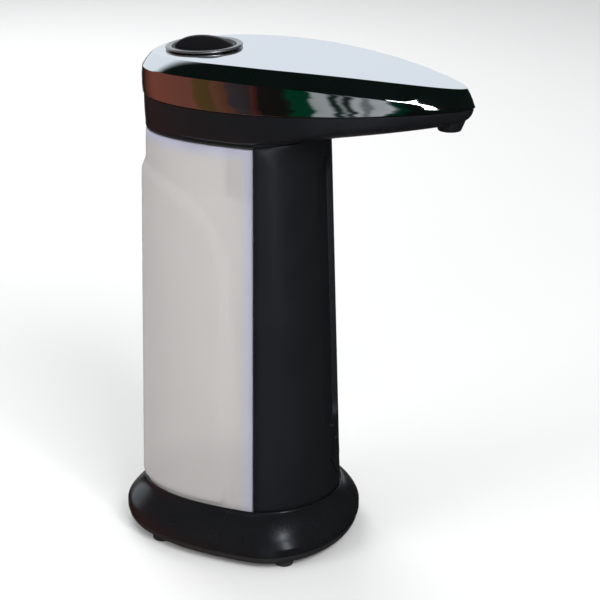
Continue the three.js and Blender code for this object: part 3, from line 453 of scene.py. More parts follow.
def look(name, colours, rough, patch=40, tint=30, grain=None, dust=0, height=None, wash=None, **shader):
    """Material of a name: two close colours, a roughness range, and a grain of (scale, strength, depth in mm).

    height, where given, is called with the tree and the coordinate socket and returns the socket of its own relief.
    wash is a colour, and a function like height's that returns the mask of where it goes.
    Other keywords are constants set on the shader's own sockets, with _ for a space.
    """
    if name in LOOKS:
        return LOOKS[name]
    material = bpy.data.materials.new(name)
    material.use_nodes = True
    tree = material.node_tree
    surface = tree.nodes["Principled BSDF"]
    place = tree.nodes.new("ShaderNodeTexCoord").outputs["Object"]
    for key, value in shader.items():
        surface.inputs[key.replace("_", " ")].default_value = value

    first, second = ((*colour, 1) for colour in colours)
    shade = node(tree, "ShaderNodeGroup", node_tree=group("Tint"))
    for key, value in {"Scale": tint, "First": first, "Second": second}.items():
        shade.inputs[key].default_value = value
    patches = node(tree, "ShaderNodeGroup", node_tree=group("Patches"))
    for key, value in {"Scale": patch, "Low": rough[0], "High": rough[1]}.items():
        patches.inputs[key].default_value = value
    for made in (shade, patches):
        tree.links.new(place, made.inputs["Vector"])
    colour, roughness = shade.outputs["Color"], patches.outputs["Value"]

    if dust:
        settled = node(tree, "ShaderNodeGroup", node_tree=group("Dust"))
        settled.inputs["Amount"].default_value = dust
        tree.links.new(place, settled.inputs["Vector"])
        over = node(tree, "ShaderNodeMix", data_type="RGBA")
        over.inputs["B"].default_value = (0.35, 0.34, 0.32, 1)
        duller = node(tree, "ShaderNodeMix", {"B": 0.85})
        for mix, socket in ((over, colour), (duller, roughness)):
            tree.links.new(settled.outputs["Mask"], mix.inputs["Factor"])
            tree.links.new(socket, mix.inputs["A"])
        colour, roughness = over.outputs["Result"], duller.outputs["Result"]
    if wash:
        washed = node(tree, "ShaderNodeMix", {"B": (*wash[0], 1)}, data_type="RGBA")
        tree.links.new(wash[1](tree, place), washed.inputs["Factor"])
        tree.links.new(colour, washed.inputs["A"])
        colour = washed.outputs["Result"]
    tree.links.new(colour, surface.inputs["Base Color"])
    tree.links.new(roughness, surface.inputs["Roughness"])

    if grain:
        scale, strength, depth = grain
        relief = node(tree, "ShaderNodeGroup", node_tree=group("Grain"))
        relief.inputs["Scale"].default_value = scale
        tree.links.new(place, relief.inputs["Vector"])
        bump = node(tree, "ShaderNodeBump", {"Strength": strength, "Distance": depth * MM})
        tree.links.new(relief.outputs["Height"], bump.inputs["Height"])
        if height:
            own = node(tree, "ShaderNodeBump", {"Strength": 0.35, "Distance": 0.02 * MM})
            tree.links.new(height(tree, place), own.inputs["Height"])
            tree.links.new(own.outputs["Normal"], bump.inputs["Normal"])
        tree.links.new(bump.outputs["Normal"], surface.inputs["Normal"])
    LOOKS[name] = material
    return material


def lathe_marks(tree, place):
    """Relief of fine concentric turning marks round the filler's axis."""
    centre = TO_FILLER.translation
    moved = node(tree, "ShaderNodeMapping", vector_type="TEXTURE")
    moved.inputs["Location"].default_value = centre
    moved.inputs["Rotation"].default_value = (-FILLER_LEAN, 0, 0)
    flat = node(tree, "ShaderNodeVectorMath", operation="MULTIPLY")
    flat.inputs[1].default_value = (1, 1, 0)
    reach = node(tree, "ShaderNodeVectorMath", operation="LENGTH")
    waves = node(tree, "ShaderNodeMath", operation="SINE")
    pitch = node(tree, "ShaderNodeMath", operation="MULTIPLY")
    pitch.inputs[1].default_value = math.tau / (0.22 * MM)
    tree.links.new(place, moved.inputs["Vector"])
    tree.links.new(moved.outputs["Vector"], flat.inputs[0])
    tree.links.new(flat.outputs["Vector"], reach.inputs[0])
    tree.links.new(reach.outputs["Value"], pitch.inputs[0])
    tree.links.new(pitch.outputs["Value"], waves.inputs[0])
    return waves.outputs["Value"]


def painted_edge_glow(tree, place):
    """Mask of the painted lavender glow of light along the tank's front edge and top rim, where the wall is seen
    edge-on.
    """
    split = tree.nodes.new("ShaderNodeSeparateXYZ")
    tree.links.new(place, split.inputs["Vector"])
    both = node(tree, "ShaderNodeMath", operation="MAXIMUM")
    edge_y = (SPLIT_Y + AXIS_Y) * MM
    for i, (axis, start, end) in enumerate((("Y", edge_y + 0.006, edge_y), ("Z", (TANK_HIGH - 6) * MM, TANK_HIGH * MM))):
        near = node(tree, "ShaderNodeMapRange", {"From Min": start, "From Max": end}, interpolation_type="SMOOTHSTEP")
        tree.links.new(split.outputs[axis], near.inputs["Value"])
        tree.links.new(near.outputs["Result"], both.inputs[i])
    return both.outputs["Value"]


def lighter(colour, share):
    return tuple(min(1.0, c * (1 + share)) for c in colour)


def chrome(s):
    return look(
        "chrome plating", (s.chrome_colour, lighter(s.chrome_colour, 0.04)), (0.025, 0.06), patch=55,
        grain=(500, 0.03, 0.01), Metallic=1.0,
    )


COOL = (0.8, 0.9, 1.0, 1)


def gloss_black(s):
    return look(
        "gloss black moulding", (s.black_colour, lighter(s.black_colour, 0.5)), (0.2, 0.3), patch=70,
        grain=(1800, 0.1, 0.008), dust=0.01, Coat_Weight=0.05, Coat_Roughness=0.15, Specular_Tint=COOL,
    )


def satin_black(s):
    return look(
        "satin black moulding", (s.black_colour, lighter(s.black_colour, 0.6)), (0.36, 0.44), patch=60,
        grain=(2200, 0.25, 0.012), dust=0.02, Specular_IOR_Level=0.38, Specular_Tint=COOL,
    )


def tank_look(s):
    # The wash paints a lavender glow of light along the tank's front edge and top rim.
    return look(
        "frosted polypropylene", (s.tank_colour, lighter(s.tank_colour, 0.05)), (0.42, 0.5), patch=35, tint=14,
        grain=(900, 0.1, 0.015), wash=((0.66, 0.67, 0.8), painted_edge_glow), Transmission_Weight=0.6, IOR=1.12,
        Specular_Tint=COOL,
    )


def satin_ring(s):
    return look(
        "turned satin metal", (s.ring_colour, lighter(s.ring_colour, 0.15)), (0.3, 0.42), patch=120,
        grain=(3000, 0.1, 0.01), height=lathe_marks, Metallic=0.9,
    )


def simple_looks():
    """Finishes of the plain pieces, by the name of the record's slot."""
    return {
        "black_moulding": look(
            "black moulding", ((0.014, 0.014, 0.015), (0.022, 0.022, 0.023)), (0.42, 0.55), grain=(1700, 0.3, 0.02)
        ),
        "rubber": look("rubber", ((0.012, 0.012, 0.012), (0.03, 0.029, 0.028)), (0.75, 0.9), patch=150,
                       grain=(1200, 0.4, 0.03)),
        "silicone": look("silicone", ((0.62, 0.61, 0.58), (0.7, 0.69, 0.66)), (0.45, 0.6), grain=(900, 0.1, 0.01),
                         Subsurface_Weight=0.15, Subsurface_Scale=0.002),
        "nylon": look("nylon", ((0.72, 0.69, 0.6), (0.8, 0.77, 0.69)), (0.4, 0.55), grain=(1500, 0.15, 0.01),
                      Subsurface_Weight=0.1, Subsurface_Scale=0.001),
        "steel": look("plated steel", ((0.5, 0.5, 0.51), (0.62, 0.62, 0.61)), (0.25, 0.42), patch=220, tint=180,
                      grain=(2500, 0.2, 0.008), Metallic=1.0),
        "circuit_board": look("circuit board", ((0.012, 0.07, 0.03), (0.02, 0.1, 0.045)), (0.3, 0.4), tint=500,
                              grain=(1400, 0.25, 0.02), Coat_Weight=0.4),
        "cell_jacket": look("cell jacket", ((0.02, 0.05, 0.13), (0.03, 0.07, 0.17)), (0.18, 0.3), patch=90,
                            grain=(700, 0.08, 0.01), Coat_Weight=0.5),
        "wire_jacket": look("wire jacket", ((0.2, 0.012, 0.01), (0.28, 0.02, 0.015)), (0.4, 0.55),
                            grain=(1200, 0.15, 0.02)),
        "sensor_lens": look("infrared window", ((0.012, 0.004, 0.005), (0.02, 0.006, 0.008)), (0.04, 0.09),
                            grain=(600, 0.02, 0.01), Coat_Weight=0.6, Coat_Roughness=0.05),
    }


# ------------------------------------------------------------------ wrapped shells
class Skin:
    """The leaning side of tank and column, unrolled: a point is its distance round from the nose or tail, and a height."""

    STEPS = 240

    def __init__(self, from_tail=False, low=None, high=None):
        self.tables = {}
        self.start = 0.5 if from_tail else 0.0
        self.low, self.high = low, high

    def outline(self, z):
        return blend(BODY_FOOT, BODY_TOP, (z - BODY_LOW) / (BODY_HIGH - BODY_LOW))

    def table(self, z):
        key = round(z, 1)
        if key not in self.tables:
            o = self.outline(key)
            turns = [0.5 * i / self.STEPS for i in range(self.STEPS + 1)]
            points = [Vector(rim(o, self.start + (-t if self.start else t))) for t in turns]
            reach = [0.0]
            for a, b in zip(points, points[1:]):
                reach.append(reach[-1] + (b - a).length)
            self.tables[key] = reach, points
        return self.tables[key]

    def half_length(self, z, y_edge=SPLIT_Y):
        """Distance round from the middle to the plane y_edge."""
        reach, points = self.table(z)
        beyond = (lambda p: p.y > y_edge) if not self.start else (lambda p: p.y < y_edge)
        i = next(i for i, p in enumerate(points) if beyond(p))
        a, b = points[i - 1], points[i]
        return reach[i - 1] + (reach[i] - reach[i - 1]) * (y_edge - a.y) / (b.y - a.y)

    def on(self, u, z):
        reach, points = self.table(z)
        far = min(abs(u), reach[-1])
        low, high = 0, len(reach) - 1
        while high - low > 1:
            middle = (low + high) // 2
            low, high = (middle, high) if reach[middle] <= far else (low, middle)
        p = points[low].lerp(points[high], (far - reach[low]) / (reach[high] - reach[low]))
        return Vector((p.x if u >= 0 else -p.x, p.y, z))

    def at(self, u, z, depth=0.0):
        """Point of the skin, moved in by a depth."""
        if abs(depth) < 1e-6:
            return self.on(u, z)
        along = self.on(u + 0.6, z) - self.on(u - 0.6, z)
        inward = Vector((0, 0, 1)).cross(along) if not self.start else along.cross(Vector((0, 0, 1)))
        middle = Vector((0, self.outline(z).wide, z))
        here = self.on(u, z)
        inward.normalize()
        if inward.dot(middle - here) < 0:
            inward.negate()
        return here + inward * depth


def wrapped_shell(skin, centre, edge, frame_at, out, inner, thickness, spread=None):
    """Closed shell with a shaped recess or panel.

    centre, edge and frame_at are matching lists of (u, z): the middle of the shape, its edge, and the shell's border.
    out and inner are rows of (share from the middle, offset past the edge, share towards the border, depth).
    spread, where given, is what the offset is multiplied by at each point of the edge.
    """
    count = len(edge)

    def rows_at(column, row):
        share, offset, border, depth = row
        i = column % count
        before, after = edge[i - 1], edge[(i + 1) % count]
        direction = Vector((after[1] - before[1], before[0] - after[0])).normalized()
        point = Vector(edge[i]) + direction * offset * (spread[i] if spread else 1)
        if share < 1:
            point = Vector(centre[i]).lerp(point, share)
        if border > 0:
            point = point.lerp(Vector(frame_at[i]), border)
        return skin.at(point.x, point.y, depth)

    rows = out + [(1, 0, 1, thickness)] + inner
    return sheet(count, len(rows) - 1, lambda column, row: rows_at(column, rows[row]))


def border_point(start, direction, half, low, high):
    """Where a ray from a point inside meets the border of the unrolled shell."""
    reaches = []
    if direction.y > 1e-9:
        reaches.append((high - start.y) / direction.y)
    if direction.y < -1e-9:
        reaches.append((low - start.y) / direction.y)
    if abs(direction.x) > 1e-9:
        gone = start.x * math.copysign(1, direction.x)
        reach = (half(start.y) - gone) / abs(direction.x)
        level_there = min(high, max(low, start.y + direction.y * reach))
        reaches.append((half(level_there) - gone) / abs(direction.x))
    return start + direction * min(reaches)


def snap_corners(points, half, low, high):
    """Moves the border point nearest to each corner onto it."""
    for side in (-1, 1):
        for z in (low, high):
            corner = Vector((side * half(z), z))
            nearest = min(range(len(points)), key=lambda i: (points[i] - corner).length)
            points[nearest] = corner
    return points


def front_slot_loop(low, high, half_width, straight=26, turn=20):
    """Middle, edge and outward direction of a round-ended slot, anticlockwise from its lower right."""
    start, stop = low + half_width, high - half_width
    loop = []
    for i in range(straight):
        loop.append((Vector((0, start + (stop - start) * i / straight)), 0.0))
    for i in range(turn):
        loop.append((Vector((0, stop)), math.pi * i / turn))
    for i in range(straight):
        loop.append((Vector((0, stop + (start - stop) * i / straight)), math.pi))
    for i in range(turn):
        loop.append((Vector((0, start)), math.pi + math.pi * i / turn))
    return [(middle, Vector((math.cos(a), math.sin(a)))) for middle, a in loop]


# ------------------------------------------------------------------ operators
class DispenserOperator(bpy.types.Operator):
    """Common part of the piece builders."""

    bl_options = {"REGISTER", "UNDO"}

    @property
    def sizes(self):
        return bpy.context.scene.dispenser

    def execute(self, context):
        self.build(context.scene.dispenser)
        return {"FINISHED"}


SHOULDER_POWER = 2 / 1.25  # the base's shoulder is a superellipse of exponent 1.25
FLARE_SHARE = 0.85  # at the rear it turns this far into a flare with a soft upper end
FLARE_FADE = (-10, 30)
HEAD_FLOOR = HEAD_LOW + 2
KEEL_SLOPE = 0.118
KEEL_START = -32
HULL_FOOT = Outline(30.7, -13, -80, 40.7, 1.47, 2.5, 2.2)  # the body's outline behind, the keel's reach in front
FOOT_FADE = (-42, -6)  # the side runs out to it between these


def keel_height(y):
    return HEAD_FLOOR + 0.7 - KEEL_SLOPE * min(0.0, y - KEEL_START)


def hull_foot(turn, by):
    """Lowest point of the head's side: the keel in front, running out to the body's own outline behind."""
    keel = Vector(rim(inset(KEEL, by), turn))
    body = Vector(rim(inset(HULL_FOOT, by), turn))
    k = eased(keel.y, *FOOT_FADE)
    point = keel.lerp(body, k)
    return point, keel_height(point.y) * (1 - k) + (HEAD_LOW + 0.6) * k


class BuildCover(DispenserOperator):
    """Chrome cover: crowned top with the filler hole, bevel, upright band and inner wall."""

    bl_idname = "dispenser.cover"
    bl_label = "Chrome cover"

    def build(self, s):
        face = inset(HEAD_RIM, 6.9, 3.1, 3.5)
        centre = Vector((0, FILLER_Y))

        def top_ring(share, drop=0.0):
            def place(turn):
                x, y = rim(face, turn)
                outward = Vector((x, y)) - centre
                p = (centre + outward.normalized() * FILLER_HOLE).lerp(Vector((x, y)), share)
                return Vector((p.x, p.y, crown(FACE, p.y) - drop))
            return place

        def between(share, swell):
            o = blend(face, HEAD_RIM, share)
            return ring(inset(o, -swell * 0.6), lambda y: crown(FACE, y) * (1 - share) + crown(BAND, y) * share + swell)

        w = s.cover_wall
        shares = [0, 0.03, 0.1, 0.2, 0.3, 0.4, 0.5, 0.6, 0.7, 0.8, 0.88, 0.95]
        outer = [top_ring(k) for k in shares]
        first = len(outer)
        outer += [top_ring(1), between(0.3, 0.22), between(0.65, 0.25), ring(HEAD_RIM, lambda y: crown(BAND, y))]
        band_at = lambda share: ring(
            inset(HEAD_RIM, -1.2 * share * (1 - share)), lambda y: crown(BAND, y) * (1 - share) + crown(SEAM, y) * share
        )
        outer += [band_at(0.3), band_at(0.7), ring(HEAD_RIM, lambda y: crown(SEAM, y))]
        inner_face = inset(face, 0.7)
        inner = [
            ring(inset(HEAD_RIM, w), lambda y: crown(SEAM, y)),
            ring(inset(HEAD_RIM, w), lambda y: max(crown(BAND, y) - 0.9, crown(SEAM, y) + 0.3)),
            ring(inner_face, lambda y: crown(FACE, y) - w),
            top_ring(0.5, w),
            top_ring(0, w),
        ]
        edge = s.cover_edge
        bm = loft(
            outer + inner, columns=224, closed=True,
            rounded={first: edge * 0.7, first + 3: edge, first + 6: edge * 0.6, first + 7: edge * 0.4},
        )
        obj = mesh_object("chrome_cover", bm)
        finished(obj, chrome(s), replaces=["head_top_cover"], sharp=50)


class BuildHull(DispenserOperator):
    """Black underside of the head, with its skirt over the body and its openings."""

    bl_idname = "dispenser.hull"
    bl_label = "Head underside"

    def build(self, s):
        seam = lambda y: crown(SEAM, y) - 0.3
        steps = 14
        w = s.shell_wall

        def side_row(angle, by, lift, share=1.0):
            """Level of the side, from the keel at angle 0 up to the seam; share closes it towards the middle."""
            def place(turn):
                top = Vector(rim(inset(HEAD_RIM, 0.4 + by), turn))
                low, height = hull_foot(turn, by)
                p = low.lerp(top, math.sin(angle))
                z = seam(p.y) - (seam(p.y) - height - lift) * math.cos(angle)
                return Vector((p.x * share, p.y, z))
            return place

        angles = [math.pi / 2 * (1 - i / steps) for i in range(steps + 1)]
        levels = [side_row(a, 0, 0) for a in angles]
        levels += [side_row(0, 0, 0, share) for share in (0.7, 0.35, 0)]
        levels += [side_row(0, w, w, share) for share in (0, 0.35, 0.7)]
        levels += [side_row(a, w, w) for a in reversed(angles)]
        shell = mesh_object("head_underside", loft(levels, columns=200, closed=True))

        skirt_top = HEAD_FLOOR + 4.7
        cup = inset(BODY_TOP, 2)
        footing = [
            spine(BODY_TOP, HEAD_LOW), ring(BODY_TOP, HEAD_LOW), ring(BODY_TOP, skirt_top),
            ring(cup, skirt_top), ring(cup, HEAD_FLOOR), spine(cup, HEAD_FLOOR),
        ]
        sump = [spine(cup, HEAD_FLOOR), ring(cup, HEAD_FLOOR), ring(cup, skirt_top), spine(cup, skirt_top)]
        carve(shell, loft(footing, columns=120, rounded={1: 0.5}), operation="UNION")
        neck = rod(10.9, -30, -2, steps=64)
        bmesh.ops.transform(neck, matrix=TO_FRAME.inverted() @ TO_FILLER, verts=neck.verts)
        carve(
            shell,
            loft(sump, columns=120),
            neck,
            rod(4.5, HEAD_LOW - 1, HEAD_FLOOR + 6, 0, -20.5),
            rod(2.7, HEAD_LOW - 1, HEAD_FLOOR + 3, 6, -7.15),
            rod(1.85, HEAD_LOW - 1, HEAD_FLOOR + 3, -4.8, -1.55),
            rod(1.4, HEAD_LOW - 1, HEAD_FLOOR + 3, 9.4, 4),
            rod(1.4, HEAD_LOW - 1, HEAD_FLOOR + 3, -9.4, 4),
            rod(6.25, HEAD_LOW, HEAD_LOW + 16, 0, NOZZLE_Y),
            window_prism(0.3, HEAD_LOW, HEAD_LOW + 12),
        )
        finished(shell, gloss_black(s), replaces=["head_lower_shell"], sharp=32)


def window_prism(by, low, high, steps=20):
    """Round-ended window on the head's underside, grown by an amount."""
    half, radius = 5 - 2.75, 2.75 + by
    points = []
    for side in (1, -1):
        for i in range(steps + 1):
            angle = -math.pi / 2 * side + math.pi * i / steps
            points.append((side * half + radius * math.cos(angle), SENSOR_Y + radius * math.sin(angle)))
    return prism(points, low, high)


class BuildOutlet(DispenserOperator):
    """Nozzle with its bore, and the sensor's window behind it."""

    bl_idname = "dispenser.outlet"
    bl_label = "Nozzle and sensor window"

    def build(self, s):
        low = level("nozzle")
        nozzle = turned([
            (1.5, low + 8), (1.5, low + 0.5), (1.9, low), (3.9, low), (4.25, low + 0.12), (4.42, low + 0.45),
            (5.75, low + 3.7), (5.95, low + 4.4), (6.0, low + 5.2), (6.0, low + 8), (1.5, low + 8),
        ])
        bmesh.ops.translate(nozzle, vec=(0, NOZZLE_Y, 0), verts=nozzle.verts)
        finished(mesh_object("outlet_nozzle", nozzle), satin_black(s), replaces=["nozzle"], sharp=40)

        pane = window_prism(0, 0, 1.4)
        for vert in pane.verts:
            vert.co.z += keel_height(vert.co.y) + 0.05
        round_edges(pane, 0.3, angle=40)
        finished(
            mesh_object("infrared_window", pane), simple_looks()["sensor_lens"],
            replaces=["sensor_window"],
        )


class BuildColumn(DispenserOperator):
    """Black front column with its long recess, and the raised arrow below it."""

    bl_idname = "dispenser.column"
    bl_label = "Column"

    def build(self, s):
        skin = Skin()
        low, high = BODY_LOW, BODY_HIGH
        half = lambda z: skin.half_length(z, SPLIT_Y - 0.3)
        loop = front_slot_loop(low + 28.7, high - 9.4, 7.5)
        centre = [middle for middle, _ in loop]
        edge = [middle + outward * 7.5 for middle, outward in loop]
        border = snap_corners([border_point(m, d, half, low, high) for m, d in loop], half, low, high)
        d, w = s.slot_depth, s.shell_wall
        out = [
            (0, 0, 0, d), (0.45, 0, 0, d), (0.85, 0, 0, d), (1, -0.5, 0, d - 0.12), (1, -0.25, 0, d - 0.5),
            (1, 0, 0, 0.6), (1, 0.1, 0, 0.25), (1, 0.35, 0, 0.06), (1, 0.8, 0, 0), (1, 2.5, 0, 0),
            *((1, 2.5, k / 12, 0) for k in range(1, 12)), (1, 0, 0.985, 0), (1, 0, 1, 0.25),
        ]
        inner = [
            *((1, 3, k / 12, w) for k in range(11, -1, -1)), (1, w, 0, w + 0.2),
            (1, w, 0, d + w - 0.2), (1, w - 0.4, 0, d + w), (0.5, 0, 0, d + w), (0, 0, 0, d + w),
        ]
        bm = wrapped_shell(skin, centre, edge, border, out, inner, w)
        obj = mesh_object("front_column", bm)
        floor = loft([
            spine(inset(BODY_FOOT, 1), low), ring(inset(BODY_FOOT, 1), low),
            ring(inset(BODY_FOOT, 1), low + 1.8), spine(inset(BODY_FOOT, 1), low + 1.8),
        ], columns=96)
        bmesh.ops.bisect_plane(
            floor, geom=floor.verts[:] + floor.edges[:] + floor.faces[:], plane_co=(0, SPLIT_Y - 0.3, 0),
            plane_no=(0, 1, 0), clear_outer=True,
        )
        bmesh.ops.holes_fill(floor, edges=floor.edges, sides=0)
        carve(obj, floor, operation="UNION")
        carve(obj, rod(4.5, low - 1, low + 3, 0, -24), *(rod(1.3, low - 1, low + 3, x, -26.5) for x in (17, -17)))
        finished(obj, satin_black(s), replaces=["column_shell"], sharp=40)
        self.arrow(s, skin)

    def arrow(self, s, skin):
        tip, half, stem, length = BODY_LOW + 8, 4.6, 1.5, 15.3
        neck = tip + half * 1.7
        outline = [
            (0, tip), (half, neck), (stem, neck), (stem, tip + length), (-stem, tip + length), (-stem, neck), (-half, neck),
        ]
        bm = bmesh.new()
        face = bm.faces.new([bm.verts.new((u, z, 0)) for u, z in outline])
        raised = bmesh.ops.extrude_face_region(bm, geom=[face])
        top = [g for g in raised["geom"] if isinstance(g, bmesh.types.BMVert)]
        bmesh.ops.translate(bm, verts=top, vec=(0, 0, -(s.arrow_proud + 0.4)))
        rim_edges = [e for e in bm.edges if all(v in top for v in e.verts)]
        bevel(bm, rim_edges, 0.22, segments=3)
        bmesh.ops.triangulate(bm, faces=bm.faces)
        bmesh.ops.subdivide_edges(bm, edges=bm.edges, cuts=2, use_grid_fill=True)
        for vert in bm.verts:
            u, z, depth = vert.co
            vert.co = skin.at(u, z, depth + 0.4)
        finished(mesh_object("fill_arrow", bm), satin_black(s), sharp=30)


class BuildTank(DispenserOperator):
    """Frosted tank with its raised rear panel, front wall and floor."""

    bl_idname = "dispenser.tank"
    bl_label = "Tank"

    def build(self, s):
        skin = Skin(from_tail=True)
        low, high = BODY_LOW, TANK_HIGH
        half = lambda z: skin.half_length(z, SPLIT_Y)
        arch_z, reach, power = high - 14.5 - 44, 44, 2.6
        foot = low + 2.5
        edge_y = -1
        panel_half = lambda z: skin.half_length(z, edge_y)
        centre, edge, spread = [], [], []
        mid_low = foot + 30

        def put(middle, point):
            centre.append(Vector(middle))
            edge.append(Vector(point))
            softer = 1 + eased(point[1], arch_z, mid_low)
            spread.append(softer - (softer - 0.55) * eased(point[1], mid_low, foot + 2))

        legs, arc, flat, corner = 22, 56, 24, 6
        for i in range(legs):
            z = foot + 4 + (arch_z - foot - 4) * i / legs
            put((0, min(max(z, mid_low), arch_z)), (panel_half(z), z))
        for i in range(arc):
            angle = math.pi * i / arc
            c, n = math.cos(angle), math.sin(angle)
            u = panel_half(arch_z) * math.copysign(abs(c) ** (2 / power), c)
            put((0, arch_z), (u, arch_z + reach * n ** (2 / power)))
        for i in range(legs):
            z = arch_z + (foot + 4 - arch_z) * i / legs
            put((0, min(max(z, mid_low), arch_z)), (-panel_half(z), z))
        for side in (-1, 1):
            w = panel_half(foot + 4)
            ends = [(side * (w - 4 + 4 * math.cos(a)), foot + 4 - 4 * math.sin(a))
                    for a in (math.pi / 2 * i / corner for i in range(corner))]
            if side > 0:
                ends = [(side * (w - 4 + 4 * math.cos(a)), foot + 4 - 4 * math.sin(a))
                        for a in (math.pi / 2 * (1 - i / corner) for i in range(corner))]
            for point in ends:
                put((0, mid_low), point)
            if side < 0:
                for i in range(flat):
                    put((0, mid_low), (-(w - 4) + 2 * (w - 4) * i / flat, foot))

        border = []
        for middle, point in zip(centre, edge):
            border.append(border_point(point, (point - middle).normalized(), half, low, high))
        snap_corners(border, half, low, high)
        p, t = s.panel_proud, s.tank_wall
        out = [
            *((k / 14, -2.4, 0, -p) for k in range(14)),
            *((1, -2.4 + 0.6 * k, 0, -p * (1 - eased(k, 0, 10))) for k in range(11)),
            *((1, 3.6, k / 8, 0) for k in range(1, 8)), (1, 0, 0.985, 0), (1, 0, 1, 0.25),
        ]
        inner = [
            *((1, 3.6, k, t) for k in (0.85, 0.7, 0.55, 0.4, 0.25, 0.1)),
            *((1, 3.6 - 1.2 * k, 0, t - p * eased(k, 0, 5)) for k in range(6)),
            *((k / 8, -2.4, 0, t - p) for k in range(7, -1, -1)),
        ]
        obj = mesh_object("soap_tank", wrapped_shell(skin, centre, edge, border, out, inner, t, spread))

        body = [
            spine(inset(BODY_FOOT, 0.8), low), ring(inset(BODY_FOOT, 0.8), low),
            ring(inset(skin.outline(high), 0.8), high), spine(inset(skin.outline(high), 0.8), high),
        ]
        front, floor = loft(body, columns=120), loft(body, columns=120)
        for bm, planes in (
            (front, (((0, SPLIT_Y, 0), (0, -1, 0)), ((0, SPLIT_Y + t, 0), (0, 1, 0)))),
            (floor, (((0, SPLIT_Y + 0.5, 0), (0, -1, 0)), ((0, 0, low + t), (0, 0, 1)))),
        ):
            for point, normal in planes:
                bmesh.ops.bisect_plane(
                    bm, geom=bm.verts[:] + bm.edges[:] + bm.faces[:], plane_co=point, plane_no=normal, clear_outer=True
                )
                bmesh.ops.holes_fill(bm, edges=bm.edges, sides=0)
        carve(obj, front, floor, operation="UNION")
        finished(obj, tank_look(s), replaces=["tank"], sharp=40)


def flared(front, rear):
    """Level that goes from one ring in front to another behind."""
    def place(turn):
        point = front(turn)
        return point.lerp(rear(turn), FLARE_SHARE * eased(point.y, *FLARE_FADE))
    return place


class BuildBase(DispenserOperator):
    """Base: shouldered shell, bottom plate with its openings, and four feet."""

    bl_idname = "dispenser.base"
    bl_label = "Base"

    def build(self, s):
        w = s.shell_wall
        collar = inset(BODY_FOOT, -0.9)
        pocket = inset(BODY_FOOT, -0.3)
        deck = BODY_LOW - 0.3
        shoulder = 9.0
        rise = BODY_LOW - shoulder
        steps = 18

        def flank(by, drop, start=0):
            rows = []
            for i in range(start, steps + 1):
                angle = math.pi / 2 * (1 - i / steps)
                climb = max(0.0, math.sin(angle)) ** SHOULDER_POWER
                shares = 1 - math.cos(angle) ** SHOULDER_POWER, eased(climb, 0, 1)
                front, rear = (ring(inset(blend(BASE_RIM, collar, k), by), shoulder + rise * climb - drop) for k in shares)
                rows.append(flared(front, rear))
            return rows

        outer = [spine(pocket, deck), ring(pocket, deck), ring(pocket, SHELL_HIGH), ring(collar, SHELL_HIGH)]
        outer += [ring(inset(collar, -0.15), BODY_LOW + 0.45)] + flank(0, 0, start=1)
        outer += [ring(BASE_RIM, SHELL_LOW + 0.55), ring(inset(BASE_RIM, 0.2), SHELL_LOW + 0.15),
                  ring(inset(BASE_RIM, 0.6), SHELL_LOW)]
        inner = [ring(inset(BASE_RIM, w), SHELL_LOW)] + list(reversed(flank(w, 0.6, start=5)))
        inner += [ring(inset(BODY_FOOT, 2), deck - 2), spine(inset(BODY_FOOT, 2), deck - 2)]
        shell = mesh_object("base_housing", loft(outer + inner, columns=180, rounded={2: 0.2, 3: 0.3}))
        carve(
            shell, rod(4.5, deck - 4, deck + 1, 0, -24), *(rod(1.4, deck - 4, deck + 1, x, -26.5) for x in (17, -17))
        )
        finished(shell, gloss_black(s), replaces=["base_shell"], sharp=40)
        self.plate(s)
        for n in range(1, 5):
            self.foot(f"foot_{n}")

    def plate(self, s):
        edge = inset(BASE_RIM, 0.7)
        under = inset(BASE_RIM, 2.1)
        plate = mesh_object("bottom_cover", loft([
            spine(under, PLATE_LOW), ring(under, PLATE_LOW), ring(inset(BASE_RIM, 1.3), PLATE_LOW + 0.45),
            ring(edge, PLATE_LOW + 1.4), ring(edge, PLATE_HIGH - 0.25), ring(inset(edge, 0.25), PLATE_HIGH),
            spine(edge, PLATE_HIGH),
        ], columns=180))
        door_low, door_high = (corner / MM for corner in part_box("battery_door"))
        knob_low, knob_high = (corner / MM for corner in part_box("power_switch_slider"))
        y0, y1 = door_low.y - AXIS_Y - 0.3, door_high.y - AXIS_Y + 0.3
        half = door_high.x - 2.4 + 0.3
        middle = PLATE_LOW + 1.5
        pins = rod(1.1, -half - 2.4, half + 2.4)
        bmesh.ops.rotate(pins, matrix=Matrix.Rotation(math.pi / 2, 3, "Y"), verts=pins.verts)
        bmesh.ops.translate(pins, vec=(0, 30, middle), verts=pins.verts)
        cutters = [
            box((-half, y0, 0), (half, y1, 12)), pins,
            box((knob_low.x - 0.3, knob_low.y - AXIS_Y - 0.3, 0), (knob_high.x + 3.3, knob_high.y - AXIS_Y + 0.3, 12)),
        ]
        for x, y in ((30, -6), (-30, -6), (14, 40.5), (-14, 40.5)):
            cutters += [rod(1.4, 0, 12, x, y), rod(2.6, 0, PLATE_LOW + 2, x, y, top=2.6)]
        carve(plate, *cutters)
        finished(plate, simple_looks()["black_moulding"], replaces=["base_bottom_plate"])

    def foot(self, name):
        low, high = (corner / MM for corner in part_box(name))
        r, top = (high.x - low.x) / 2, high.z
        pad = turned([(0, 0.12), (r - 1.6, 0.12), (r - 1.5, 0), (r - 0.75, 0), (r - 0.3, 0.12), (r - 0.08, 0.4),
                      (r, 0.8), (r, top - 0.2), (r - 0.2, top), (0, top)])
        middle = (low + high) / 2
        bmesh.ops.translate(pad, vec=(middle.x, middle.y - AXIS_Y, 0), verts=pad.verts)
        finished(mesh_object("rubber_" + name, pad), simple_looks()["rubber"], replaces=[name])


